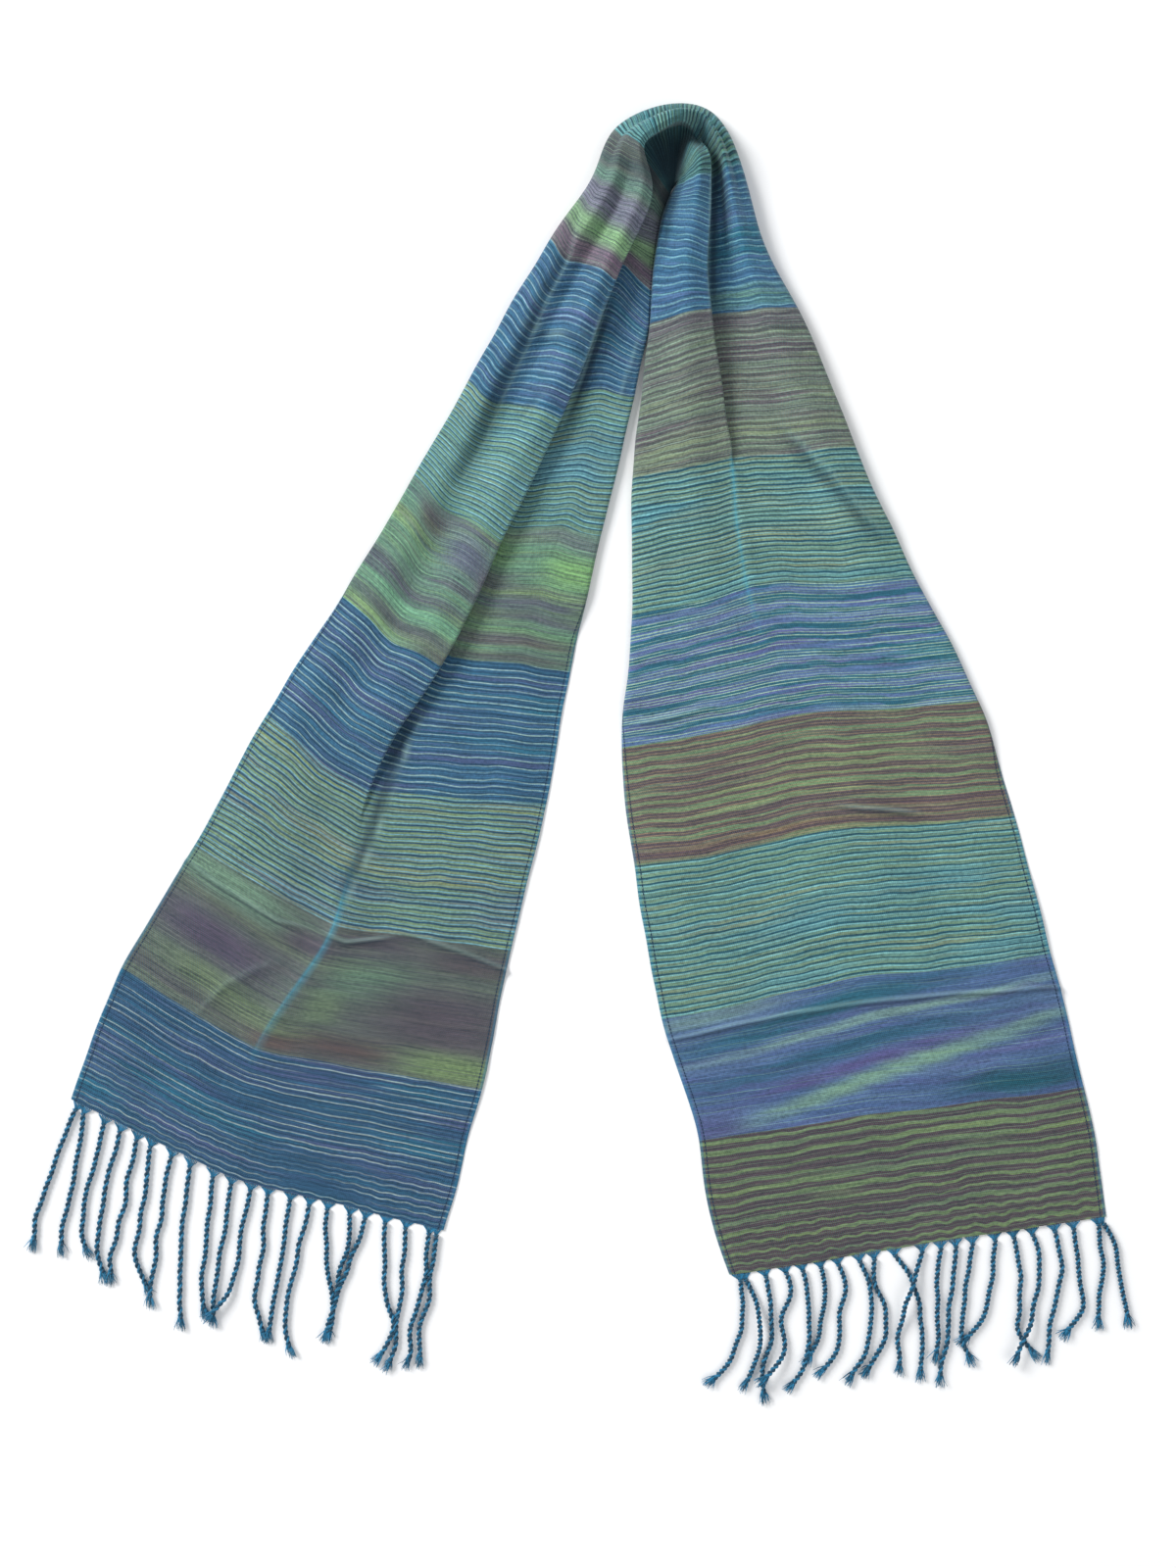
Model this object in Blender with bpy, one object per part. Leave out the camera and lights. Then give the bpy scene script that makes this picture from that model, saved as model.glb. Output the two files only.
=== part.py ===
"""Fringed scarf, gathered in the middle and laid in a bend, with both tails spread. Sizes in millimetres."""
import bisect
import math

import bpy
import numpy as np

for old in list(bpy.data.objects):
    bpy.data.objects.remove(old)

MM = 0.001

# Cloth: one woven length, counted along its length in colour bands.
BANDS = 17
WALL = 1.2
SEAM_GAP = 0.4
BAND_LENGTH = 107.0
LEFT_CUT = 7.5
RIGHT_CUT = 9.5

# Plan of the laid cloth, a row for each section across it. "edge" is where the upper layer ends,
# "under" is where the lower layer comes out from beneath it.
PLAN_COLUMNS = (
    "band", "outer_x", "outer_y", "edge_x", "edge_y", "under_x", "under_y", "inner_x", "inner_y",
)
PLAN = (
    (0.00, -389, -270, -268, -330, -268, -330, -105, -369),
    (1.00, -351, -169, -246, -231, -246, -231, -76, -262),
    (2.00, -295, -74, -196, -136, -193, -136, -53, -155),
    (3.00, -240, 26, -161, -32, -146, -35, -27, -44),
    (4.00, -182, 117, -106, 62, -98, 70, -8, 58),
    (5.00, -126, 209, -59, 157, -51, 172, 16, 162),
    (6.00, -85, 281, -14, 249, 0, 272, 39, 269),
    (7.00, -22, 389, 27, 353, 34, 369, 53, 350),
    (7.50, 5, 429, 46, 395, 50, 399, 57, 396),
    (7.75, 15, 448, 55, 423, 58, 424, 61, 418),
    (8.00, 27, 471, 48, 451, 53, 447, 63, 438),
    (8.25, 51, 487, 59, 464, 62, 460, 65, 441),
    (8.50, 75, 493, 75, 472, 75, 466, 68, 442),
    (8.75, 101, 485, 90, 466, 88, 462, 72, 442),
    (9.00, 118, 458, 99, 446, 97, 446, 74, 434),
    (9.50, 138, 392, 97, 388, 98, 388, 62, 397),
    (10.00, 166, 335, 99, 333, 103, 332, 54, 324),
    (11.00, 211, 228, 116, 220, 118, 220, 40, 205),
    (12.00, 256, 131, 130, 119, 130, 119, 40, 100),
    (13.00, 304, 36, 168, 23, 168, 23, 32, 0),
    (14.00, 333, -53, 190, -66, 190, -66, 42, -91),
    (15.00, 361, -158, 209, -179, 209, -179, 63, -208),
    (16.00, 386, -260, 249, -278, 249, -278, 91, -301),
    (16.50, 396, -310, 254, -330, 254, -330, 99, -355),
    (17.00, 403, -359, 256, -381, 256, -381, 115, -404),
)

# How the cloth folds in each section. "lap" is how far one part lies over the other, above 0 where the
# outer part is on top and below 0 where the inner part is; "bridge" joins them where neither lies over.
# The turns are the widths folded under at both edges. The rest are heights under the cloth.
FOLD_COLUMNS = (
    "band", "lap", "bridge", "outer_turn", "inner_turn", "outer_roll", "inner_roll",
    "ridge", "valley", "flap", "outer_end", "inner_start", "panel", "panel_side",
)
FOLDS = (
    (0.0, 0, 4, 1.5, 1.5, 3.0, 3.0, 2, 0, 2, 2, 2, 0, 0),
    (1.0, 0, 4, 1.5, 1.5, 3.0, 3.0, 3, 0, 5, 5, 4, 0, 0),
    (2.0, 0, 4, 1.5, 1.5, 3.0, 3.0, 4, 1, 9, 9, 7, 2, 2),
    (3.0, 8, 0, 1.5, 1.5, 3.0, 3.0, 6, 4, 13, 12, 1, 4, 4),
    (4.0, 32, 0, 6.0, 1.5, 3.0, 3.0, 9, 6, 15, 14, 0, 4, 5),
    (5.0, 36, 0, 26.0, 12.0, 3.5, 2.5, 12, 7, 17, 15, 0, 4, 5),
    (6.0, 36, 0, 30.0, 14.0, 5.0, 2.5, 15, 5, 20, 16, 0, 4, 5),
    (7.0, 28, 0, 26.0, 3.0, 7.0, 3.0, 18, 8, 25, 20, 0, 2, 2),
    (7.5, 18, 0, 26.0, 3.0, 8.0, 3.0, 22, 21, 29, 24, 0, 2, 2),
    (8.0, 0, 3, 24.0, 3.0, 9.0, 3.0, 28, 31, 33, 28, 4, 3, 2),
    (8.5, 0, 6, 20.0, 3.0, 10.0, 3.0, 32, 35, 34, 30, 8, 5, 2),
    (8.75, 0, 8, 20.0, 12.0, 9.0, 4.0, 28, 24, 15, 14, 13, 15, 9),
    (9.0, -5, 2, 20.0, 20.0, 8.0, 7.0, 22, 11, 5, 5, 24, 30, 22),
    (9.5, -16, 0, 22.0, 22.0, 7.0, 6.0, 19, 8, 3, 1, 22, 27, 19),
    (10.0, -26, 0, 24.0, 22.0, 6.0, 5.0, 16, 6, 3, 0, 18, 22, 15),
    (11.0, -20, 0, 22.0, 20.0, 4.5, 4.0, 13, 5, 4, 0, 11, 14, 10),
    (12.0, 0, 4, 16.0, 16.0, 3.0, 3.0, 9, 5, 6, 5, 7, 8, 7),
    (13.0, 0, 4, 9.0, 5.0, 3.0, 3.0, 5, 3, 4, 4, 4, 4, 4),
    (14.0, 0, 4, 1.5, 1.5, 3.0, 3.0, 3, 0, 3, 3, 3, 0, 3),
    (15.0, 0, 4, 1.5, 1.5, 3.0, 3.0, 2, 0, 3, 2, 2, 0, 1),
    (16.0, 0, 4, 1.5, 1.5, 3.0, 3.0, 2, 0, 1, 1, 1, 0, 0),
    (17.0, 0, 4, 1.5, 1.5, 3.0, 3.0, 1, 0, 1, 1, 1, 0, 0),
)

# Where the heights of the table lie, as shares of the outer and of the inner part.
RIDGE_AT = 0.22
VALLEY_AT = 0.46
FLAP_AT = 0.82
PANEL_AT = 0.38
PANEL_SIDE_AT = 0.74

# A lap's two folds: their round, the lap at which they are full, and the least that each takes up.
LAP_ROUND = 1.7
LAP_BLEND = 8.0
ROUND_SHARE = 0.95
LEAST_DROP = 0.01
TURN_SHARE = 0.2
TURN_START = 0.1

# How closely the wall is sampled: intervals across, and bands between two sections.
TURN_STEPS = 5
OUTER_STEPS = 10
LAP_STEPS = 8
INNER_STEPS = 8
LEG_STEP = 0.25
CROWN_STEP = 0.1
NORMAL_STEP = 0.02

# Undersides that come nearer to the ground than this rest flat on it.
REST_DEPTH = 0.3

# Fringe: twisted strands on a narrow strip beside each hem.
STRAND_THICK = 3.4
STRAND_SIDES = 4
STRAND_STEPS = 7
STRAND_CLEAR = 0.35
STRIP_WIDTH = 3.0
STRIP_THICK = 2.2
STRIP_GAP = 0.4
STRIP_CLEAR = 0.3
ROOT_OUT = 0.4
LIFT_SPAN = 0.2

# Finish.
GREEN_BLUE = (0.12, 0.25, 0.28)
TURQUOISE = (0.02, 0.2, 0.36)
CLOTH_ROUGHNESS = 0.85
SHARP_ANGLE = 60

# A row for each strand: its share of the way along the hem from the left, how far it falls below its
# root, its sideways drift at each fifth of the fall, how high it is lifted over a neighbour, and at
# what share of the fall.
STRAND_COLUMNS = ("along", "fall", "drift1", "drift2", "drift3", "drift4", "tip", "lift", "lift_at")
LEFT_STRANDS = (
    (0.010, 105, -9, -17, -23, -29, -32, 0, 0.5),
    (0.032, 106, -2, -5, -9, -14, -15, 0, 0.5),
    (0.090, 101, -4, -9, -14, -17, -13, 0, 0.5),
    (0.135, 113, -5, -10, -14, -18, -14, 0, 0.5),
    (0.182, 108, -4, -8, -13, -17, -20, 0, 0.5),
    (0.221, 111, -3, -5, -8, -11, -5, 0, 0.5),
    (0.280, 113, -4, -7, -10, -13, -16, 0, 0.5),
    (0.333, 122, -3, -6, -7, -8, -7, 0, 0.5),
    (0.397, 106, -2, -4, -6, -8, -5, 0, 0.5),
    (0.447, 106, -3, -6, -9, -12, -14, 0, 0.5),
    (0.499, 103, -4, -7, -9, -13, -28, 6, 1.0),
    (0.545, 110, -2, -5, -7, -9, -4, 0, 0.5),
    (0.604, 106, -3, -6, -9, -12, -15, 0, 0.5),
    (0.655, 114, -5, -10, -14, -19, -15, 0, 0.5),
    (0.703, 102, 0, -1, -2, 0, -15, 0, 0.5),
    (0.762, 99, -3, -7, -10, -13, -23, 0, 0.5),
    (0.803, 100, -6, -11, -15, -20, -27, 0, 0.5),
    (0.856, 106, -1, -2, 1, 5, -5, 0, 0.5),
    (0.910, 108, -1, -3, -5, -8, -12, 0, 0.5),
    (0.978, 101, -2, -4, -8, -13, -15, 0, 0.5),
)
RIGHT_STRANDS = (
    (0.016, 80, 1, 1, -2, -8, -21, 0, 0.5),
    (0.030, 83, 7, 10, 10, 8, 1, 5, 0.5),
    (0.085, 94, 3, 4, 2, -1, -2, 0, 0.5),
    (0.140, 84, 4, -2, -2, -3, -16, 5, 1.0),
    (0.185, 91, 4, 4, 4, 2, -8, 0, 0.5),
    (0.235, 72, 3, 3, 0, -2, -7, 0, 0.5),
    (0.282, 85, 5, 1, -1, -2, -11, 0, 0.5),
    (0.340, 92, 7, 9, 8, 4, -6, 0, 0.5),
    (0.380, 89, 0, 7, 10, 6, -5, 0, 0.5),
    (0.436, 93, 12, 18, 21, 20, 21, 0, 0.5),
    (0.510, 92, -5, -12, -17, -18, -17, 6, 0.4),
    (0.560, 85, -2, -1, -2, -2, -3, 0, 0.5),
    (0.600, 104, -2, -4, -6, -9, -13, 0, 0.5),
    (0.645, 91, -3, -5, -6, -9, -4, 0, 0.5),
    (0.705, 80, -1, -3, -5, -9, -21, 0, 0.5),
    (0.755, 92, 3, 4, 5, 3, 13, 0, 0.5),
    (0.805, 96, 5, 3, 1, -5, -13, 5, 0.9),
    (0.865, 98, 4, 4, 2, -2, -5, 0, 0.5),
    (0.915, 83, 2, 5, 5, 7, -4, 0, 0.5),
    (0.982, 77, 1, 3, 2, 0, 0, 0, 0.5),
    (0.996, 76, 8, 11, 12, 15, 18, 0, 0.5),
)


def curve_through(rows):
    """A smooth curve through the rows' values, over their first column, that never overshoots them."""
    rows = np.array(rows, float)
    x, y = rows[:, 0], rows[:, 1:]
    step = np.diff(x)[:, None]
    slope = np.diff(y, axis=0) / step
    tangent = np.zeros_like(y)
    tangent[0], tangent[-1] = slope[0], slope[-1]
    same = slope[:-1] * slope[1:] > 0
    weight_a = 2 * step[1:] + step[:-1]
    weight_b = step[1:] + 2 * step[:-1]
    with np.errstate(divide="ignore", invalid="ignore"):
        mean = (weight_a + weight_b) / (weight_a / slope[:-1] + weight_b / slope[1:])
    tangent[1:-1] = np.where(same, mean, 0)

    def value(at):
        i = min(max(bisect.bisect_right(x, at) - 1, 0), len(x) - 2)
        h = x[i + 1] - x[i]
        u = (at - x[i]) / h
        return (
            y[i] * (1 + 2 * u) * (1 - u) ** 2
            + tangent[i] * h * u * (1 - u) ** 2
            + y[i + 1] * u * u * (3 - 2 * u)
            + tangent[i + 1] * h * u * u * (u - 1)
        )

    return value


def natural_curve(rows):
    """A round curve through the rows' points, over their first column, for plan positions."""
    rows = np.array(rows, float)
    x, y = rows[:, 0], rows[:, 1:]
    count = len(x)
    system = np.zeros((count, count))
    right = np.zeros_like(y)
    system[0, 0] = system[-1, -1] = 1
    for i in range(1, count - 1):
        before, after = x[i] - x[i - 1], x[i + 1] - x[i]
        system[i, i - 1: i + 2] = before, 2 * (before + after), after
        right[i] = 6 * ((y[i + 1] - y[i]) / after - (y[i] - y[i - 1]) / before)
    bend = np.linalg.solve(system, right)

    def value(at):
        i = min(max(bisect.bisect_right(x, at) - 1, 0), count - 2)
        h = x[i + 1] - x[i]
        a, b = x[i + 1] - at, at - x[i]
        return (
            bend[i] * a ** 3 / (6 * h)
            + bend[i + 1] * b ** 3 / (6 * h)
            + (y[i] / h - bend[i] * h / 6) * a
            + (y[i + 1] / h - bend[i + 1] * h / 6) * b
        )

    return value


plan_at = natural_curve(PLAN)
folds_at = curve_through(FOLDS)


def turned_under(width, radius, steps):
    """An edge folded under: distances in from the edge and heights, from the hidden hem up to the top."""
    angle = min(math.pi, width / radius)
    run = width - angle * radius
    first = math.pi - angle
    edge = 1 if angle >= math.pi / 2 else math.sin(first)
    points = [(radius * (edge - math.sin(first)) + run, 0.0)]
    for i in range(steps):
        turn = first + angle * (TURN_START + (1 - TURN_START) * i / (steps - 1))
        points.append((radius * (edge - math.sin(turn)), radius * (math.cos(first) - math.cos(turn))))
    return points


def double_bend(first, last, heading, steps):
    """The cloth between two layers: round one fold, across, and round the other. Its ends are left out."""
    heading = np.array([*heading, 0]) / np.linalg.norm(heading)
    way = last - first
    ahead, drop = way @ heading, first[2] - last[2]
    sideways = way - heading * ahead
    sideways[2] = 0
    fall = max(abs(drop), LEAST_DROP)
    radius = min(LAP_ROUND, ROUND_SHARE * (ahead ** 2 + fall ** 2) / (4 * fall))
    apart = math.hypot(ahead, fall - 2 * radius)
    angle = math.atan2(fall - 2 * radius, ahead) + math.asin(min(1, 2 * radius / apart))
    straight = math.sqrt(max(apart ** 2 - 4 * radius ** 2, 0))
    bend = radius * angle
    total = 2 * bend + straight
    near = max(bend, TURN_SHARE * total)
    third = (steps - 2) // 2
    marks = [near * i / third for i in range(1, third + 1)]
    marks += [near + (total - 2 * near) * i / (steps - 2 * third) for i in range(1, steps - 2 * third)]
    marks += [total - near * i / third for i in range(third, 0, -1)]
    points = []
    for mark in marks:
        if mark < bend:
            turn = mark / radius
            x, z = radius * math.sin(turn), radius * (1 - math.cos(turn))
        elif mark <= bend + straight:
            x = radius * math.sin(angle) + (mark - bend) * math.cos(angle)
            z = radius * (1 - math.cos(angle)) + (mark - bend) * math.sin(angle)
        else:
            turn = (total - mark) / radius
            x, z = ahead - radius * math.sin(turn), fall - radius * (1 - math.cos(turn))
        place = first + heading * x + sideways * mark / total
        place[2] = first[2] - z * (drop / fall)
        points.append(tuple(place))
    return points


def section(band, steps=(TURN_STEPS, OUTER_STEPS, LAP_STEPS, INNER_STEPS)):
    """The middle line of the cloth across one section, from its outer to its inner edge."""
    turn_steps, outer_steps, lap_steps, inner_steps = steps
    plan = dict(zip(PLAN_COLUMNS[1:], plan_at(band)))
    fold = dict(zip(FOLD_COLUMNS[1:], folds_at(band)))
    outer = np.array([plan["outer_x"], plan["outer_y"]])
    edge = np.array([plan["edge_x"], plan["edge_y"]])
    under = np.array([plan["under_x"], plan["under_y"]])
    inner = np.array([plan["inner_x"], plan["inner_y"]])
    outward_in = (edge - outer) / np.linalg.norm(edge - outer)
    edge_in = (inner - edge) / np.linalg.norm(inner - edge)
    lap, bridge = fold["lap"], fold["bridge"]
    over = min(max(lap / LAP_BLEND, -1), 1)
    lean = (under - edge) / 2

    outer_end = edge - outward_in * (bridge / 2 + LAP_ROUND * over)
    inner_start = edge + edge_in * (bridge / 2 - LAP_ROUND * over)
    if lap > 0:
        inner_start = inner_start - outward_in * (lap - 2 * LAP_ROUND * over) + lean * over
    else:
        outer_end = outer_end - edge_in * (lap - 2 * LAP_ROUND * over) - lean * over

    points = []
    for inward, height in turned_under(fold["outer_turn"], fold["outer_roll"], turn_steps):
        points.append((*(outer + outward_in * inward), height))
    start_height = points[-1][2]
    start = np.array(points.pop()[:2])
    profile = curve_through((
        (0, start_height), (RIDGE_AT, fold["ridge"]), (VALLEY_AT, fold["valley"]),
        (FLAP_AT, fold["flap"]), (1, fold["outer_end"]),
    ))
    hidden = -min(over, 0)
    route = [start, under * hidden + outer_end * (1 - hidden), outer_end]
    for i in range(outer_steps + 1):
        share = i / outer_steps
        points.append((*along(route, share), profile(share)[0]))

    inner_turn = turned_under(fold["inner_turn"], fold["inner_roll"], turn_steps)
    end = inner - edge_in * inner_turn[-1][0]
    end_height = inner_turn[-1][1]
    first, last = np.array(points[-1]), np.array([*inner_start, fold["inner_start"]])
    points += double_bend(first, last, outward_in + edge_in, lap_steps)

    profile = curve_through((
        (0, fold["inner_start"]), (PANEL_AT, fold["panel"]),
        (PANEL_SIDE_AT, fold["panel_side"]), (1, end_height),
    ))
    hidden = max(over, 0)
    route = [inner_start, under * hidden + inner_start * (1 - hidden), end]
    for i in range(inner_steps + 1):
        share = i / inner_steps
        points.append((*along(route, share), profile(share)[0]))
    for inward, height in reversed(inner_turn[:-1]):
        points.append((*(inner - edge_in * inward), height))
    return np.array(points)


def along(route, share):
    """The point at a share of the way along a route of straight stretches."""
    lengths = [np.linalg.norm(b - a) for a, b in zip(route, route[1:])]
    left = share * sum(lengths)
    for a, b, length in zip(route, route[1:], lengths):
        if left <= length and length > 0:
            return a + (b - a) * left / length
        left -= length
    return route[-1]


def cloth_grid(bands):
    """The cloth's middle surface and its normals, a row for each section."""
    rows = np.array([section(band) for band in bands])
    ahead = np.array([section(min(band + NORMAL_STEP, BANDS)) for band in bands])
    behind = np.array([section(max(band - NORMAL_STEP, 0)) for band in bands])
    lengthwise = ahead - behind
    heading = np.diff(rows, axis=1)
    heading /= np.linalg.norm(heading, axis=2, keepdims=True)
    across = np.concatenate([heading[:, :1], heading[:, 1:] + heading[:, :-1], heading[:, -1:]], axis=1)
    normals = np.cross(across, lengthwise)
    normals /= np.linalg.norm(normals, axis=2, keepdims=True)
    rows[:, :, 2] += WALL / 2
    return rows, normals


def wall_object(name, bands, colour):
    """One stretch of the cloth as a closed wall."""
    middle, normals = cloth_grid(bands)
    sections, columns = middle.shape[:2]
    upper = middle + normals * WALL / 2
    lower = middle - normals * WALL / 2
    points = np.concatenate([upper.reshape(-1, 3), lower.reshape(-1, 3)])
    points[points[:, 2] < REST_DEPTH, 2] = 0
    below = sections * columns

    def at(i, j):
        return i * columns + j

    faces = []
    for i in range(sections - 1):
        for j in range(columns - 1):
            a, b, c, d = at(i, j), at(i, j + 1), at(i + 1, j + 1), at(i + 1, j)
            faces += [(a, b, c, d), (below + d, below + c, below + b, below + a)]
    rim = [at(0, j) for j in range(columns)]
    rim += [at(i, columns - 1) for i in range(1, sections)]
    rim += [at(sections - 1, j) for j in range(columns - 2, -1, -1)]
    rim += [at(i, 0) for i in range(sections - 2, 0, -1)]
    for a, b in zip(rim, rim[1:] + rim[:1]):
        faces.append((b, a, below + a, below + b))
    return solid(name, points, faces, colour)


def solid(name, points, faces, colour):
    """A closed body from points in millimetres, shaded smooth, with its own cloth material."""
    mesh = bpy.data.meshes.new(name)
    mesh.from_pydata([tuple(p * MM) for p in np.array(points, float)], [], faces)
    mesh.update()
    mesh.shade_smooth()
    mesh.set_sharp_from_angle(angle=math.radians(SHARP_ANGLE))
    mesh.materials.append(cloth_material(name, colour))
    made = bpy.data.objects.new(name, mesh)
    bpy.context.scene.collection.objects.link(made)
    return made


def cloth_material(name, colour):
    """A matt woven finish of one mean colour."""
    material = bpy.data.materials.new(name)
    material.use_nodes = True
    shader = material.node_tree.nodes["Principled BSDF"]
    shader.inputs["Base Color"].default_value = (*colour, 1)
    shader.inputs["Roughness"].default_value = CLOTH_ROUGHNESS
    shader.inputs["Metallic"].default_value = 0.0
    return material


def spread(first, last, step):
    """Evenly spaced bands from first to last, both included."""
    count = round((last - first) / step)
    return [first + (last - first) * i / count for i in range(count + 1)]


def tube(points, thick, sides, turn=0.0):
    """A closed round bar along points, as points and faces."""
    points = np.array(points)
    heading = np.gradient(points, axis=0)
    heading /= np.linalg.norm(heading, axis=1, keepdims=True)
    made = []
    for place, way in zip(points, heading):
        side = np.cross(way, (0, 0, 1))
        side /= np.linalg.norm(side)
        up = np.cross(side, way)
        for k in range(sides):
            angle = turn + 2 * math.pi * k / sides
            made.append(place + (side * math.cos(angle) + up * math.sin(angle)) * thick / 2)
    faces = [tuple(range(sides)), tuple(range(len(made) - 1, len(made) - sides - 1, -1))]
    for i in range(len(points) - 1):
        for k in range(sides):
            a, b = i * sides + k, i * sides + (k + 1) % sides
            faces.append((b, a, a + sides, b + sides))
    return made, faces


def hem_points(band, away):
    """A curve beside one hem, from left to right, its distance away from the cloth's edge."""
    row = section(band)[TURN_STEPS:-TURN_STEPS]
    inside = section(band + (NORMAL_STEP if band == 0 else -NORMAL_STEP))[TURN_STEPS:-TURN_STEPS]
    out = row - inside
    out[:, 2] = 0
    out /= np.linalg.norm(out, axis=1, keepdims=True)
    line = (row + out * away)[:, :2]
    return line if band == 0 else line[::-1]


def strip(name, band, colour):
    """The narrow strip that a hem's strands grow from."""
    line = hem_points(band, STRIP_GAP + STRIP_WIDTH / 2)
    heading = np.gradient(line, axis=0)
    heading /= np.linalg.norm(heading, axis=1, keepdims=True)
    side = np.stack([-heading[:, 1], heading[:, 0]], axis=1) * STRIP_WIDTH / 2
    low, high = STRIP_CLEAR, STRIP_CLEAR + STRIP_THICK
    points = []
    for place, out in zip(line, side):
        for way, z in ((1, low), (-1, low), (-1, high), (1, high)):
            points.append((*(place + out * way), z))
    faces = [(3, 2, 1, 0), tuple(len(points) - 4 + k for k in range(4))]
    for i in range(len(line) - 1):
        for k in range(4):
            a, b = i * 4 + k, i * 4 + (k + 1) % 4
            faces.append((a, b, b + 4, a + 4))
    return solid(name, points, faces, colour)


def strand_route(root, row):
    """The middle line of one strand from its root in the strip to its tip."""
    strand = dict(zip(STRAND_COLUMNS, row))
    drifts = (0, *(strand[c] for c in ("drift1", "drift2", "drift3", "drift4", "tip")))
    stations = [(i / 5, d) for i, d in enumerate(drifts)]
    drift = natural_curve(stations)
    low = STRAND_CLEAR + STRAND_THICK / 2 * math.cos(math.pi / STRAND_SIDES)
    route = []
    for i in range(STRAND_STEPS + 1):
        share = i / STRAND_STEPS
        lift = strand["lift"] * math.exp(-(((share - strand["lift_at"]) / LIFT_SPAN) ** 2))
        route.append((root[0] + drift(share)[0], root[1] - strand["fall"] * share, low + lift))
    return route


def fringe(name, band, rows, colour):
    """A hem's strands, their roots fused into one narrow strip."""
    made = strip(name, band, colour)
    line = hem_points(band, STRIP_GAP + STRIP_WIDTH / 2 + ROOT_OUT)
    steps = np.concatenate([[0], np.cumsum(np.linalg.norm(np.diff(line, axis=0), axis=1))])
    steps /= steps[-1]
    points, faces = [], []
    for row in rows:
        root = [np.interp(row[0], steps, line[:, k]) for k in (0, 1)]
        strand, sides = tube(strand_route(root, row), STRAND_THICK, STRAND_SIDES, math.pi / STRAND_SIDES)
        faces += [tuple(len(points) + k for k in face) for face in sides]
        points += strand
    strands = solid(name + "_strands", points, faces, colour)
    strands.hide_render = True
    strands.display_type = "WIRE"
    union = made.modifiers.new("strands", "BOOLEAN")
    union.operation = "UNION"
    union.object = strands
    return made


def build():
    """The three stretches of cloth and the two fringes."""
    half_gap = SEAM_GAP / 2 / BAND_LENGTH
    wall_object("left_leg_cloth", spread(0, LEFT_CUT - half_gap, LEG_STEP), GREEN_BLUE)
    wall_object("crown_cloth", spread(LEFT_CUT + half_gap, RIGHT_CUT - half_gap, CROWN_STEP), GREEN_BLUE)
    wall_object("right_leg_cloth", spread(RIGHT_CUT + half_gap, BANDS, LEG_STEP), GREEN_BLUE)
    fringe("left_fringe", 0, LEFT_STRANDS, TURQUOISE)
    fringe("right_fringe", BANDS, RIGHT_STRANDS, TURQUOISE)


build()
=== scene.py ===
"""Fringed scarf, gathered in its middle and laid in a bend on a pale floor."""
import bisect
import math
import random

import bmesh
import bpy
import numpy as np
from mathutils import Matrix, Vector, noise


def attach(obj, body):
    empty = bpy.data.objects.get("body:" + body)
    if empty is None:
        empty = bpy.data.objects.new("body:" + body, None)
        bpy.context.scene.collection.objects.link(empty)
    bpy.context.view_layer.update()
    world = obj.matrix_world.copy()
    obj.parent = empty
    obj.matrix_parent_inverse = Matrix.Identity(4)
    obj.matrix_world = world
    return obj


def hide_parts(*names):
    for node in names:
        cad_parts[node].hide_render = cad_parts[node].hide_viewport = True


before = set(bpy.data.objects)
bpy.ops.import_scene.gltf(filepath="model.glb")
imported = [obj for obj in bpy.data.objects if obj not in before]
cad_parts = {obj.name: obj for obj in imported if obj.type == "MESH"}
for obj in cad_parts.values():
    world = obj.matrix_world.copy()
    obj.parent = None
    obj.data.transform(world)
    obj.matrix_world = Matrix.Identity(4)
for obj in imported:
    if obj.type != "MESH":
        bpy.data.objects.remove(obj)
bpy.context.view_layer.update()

MM = 0.001

# The camera looks straight down on the laid scarf. Its place is in metres.
CAMERA_PLACE = (0.006, -0.0278, 1.65)
CAMERA_LENS = 49.4
CAMERA_SENSOR = 36.0

camera_data = bpy.data.cameras.new("overhead_camera")
camera_data.lens = CAMERA_LENS
camera_data.sensor_width = CAMERA_SENSOR
camera = bpy.data.objects.new("overhead_camera", camera_data)
camera.location = CAMERA_PLACE
bpy.context.scene.collection.objects.link(camera)
bpy.context.scene.camera = camera

# The cloth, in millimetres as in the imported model: its colour bands, its width and its thickness.
BANDS = 17
BAND_LENGTH = 107.0
CLOTH_WIDTH = 300.0
CLOTH_THICK = 0.6

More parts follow.
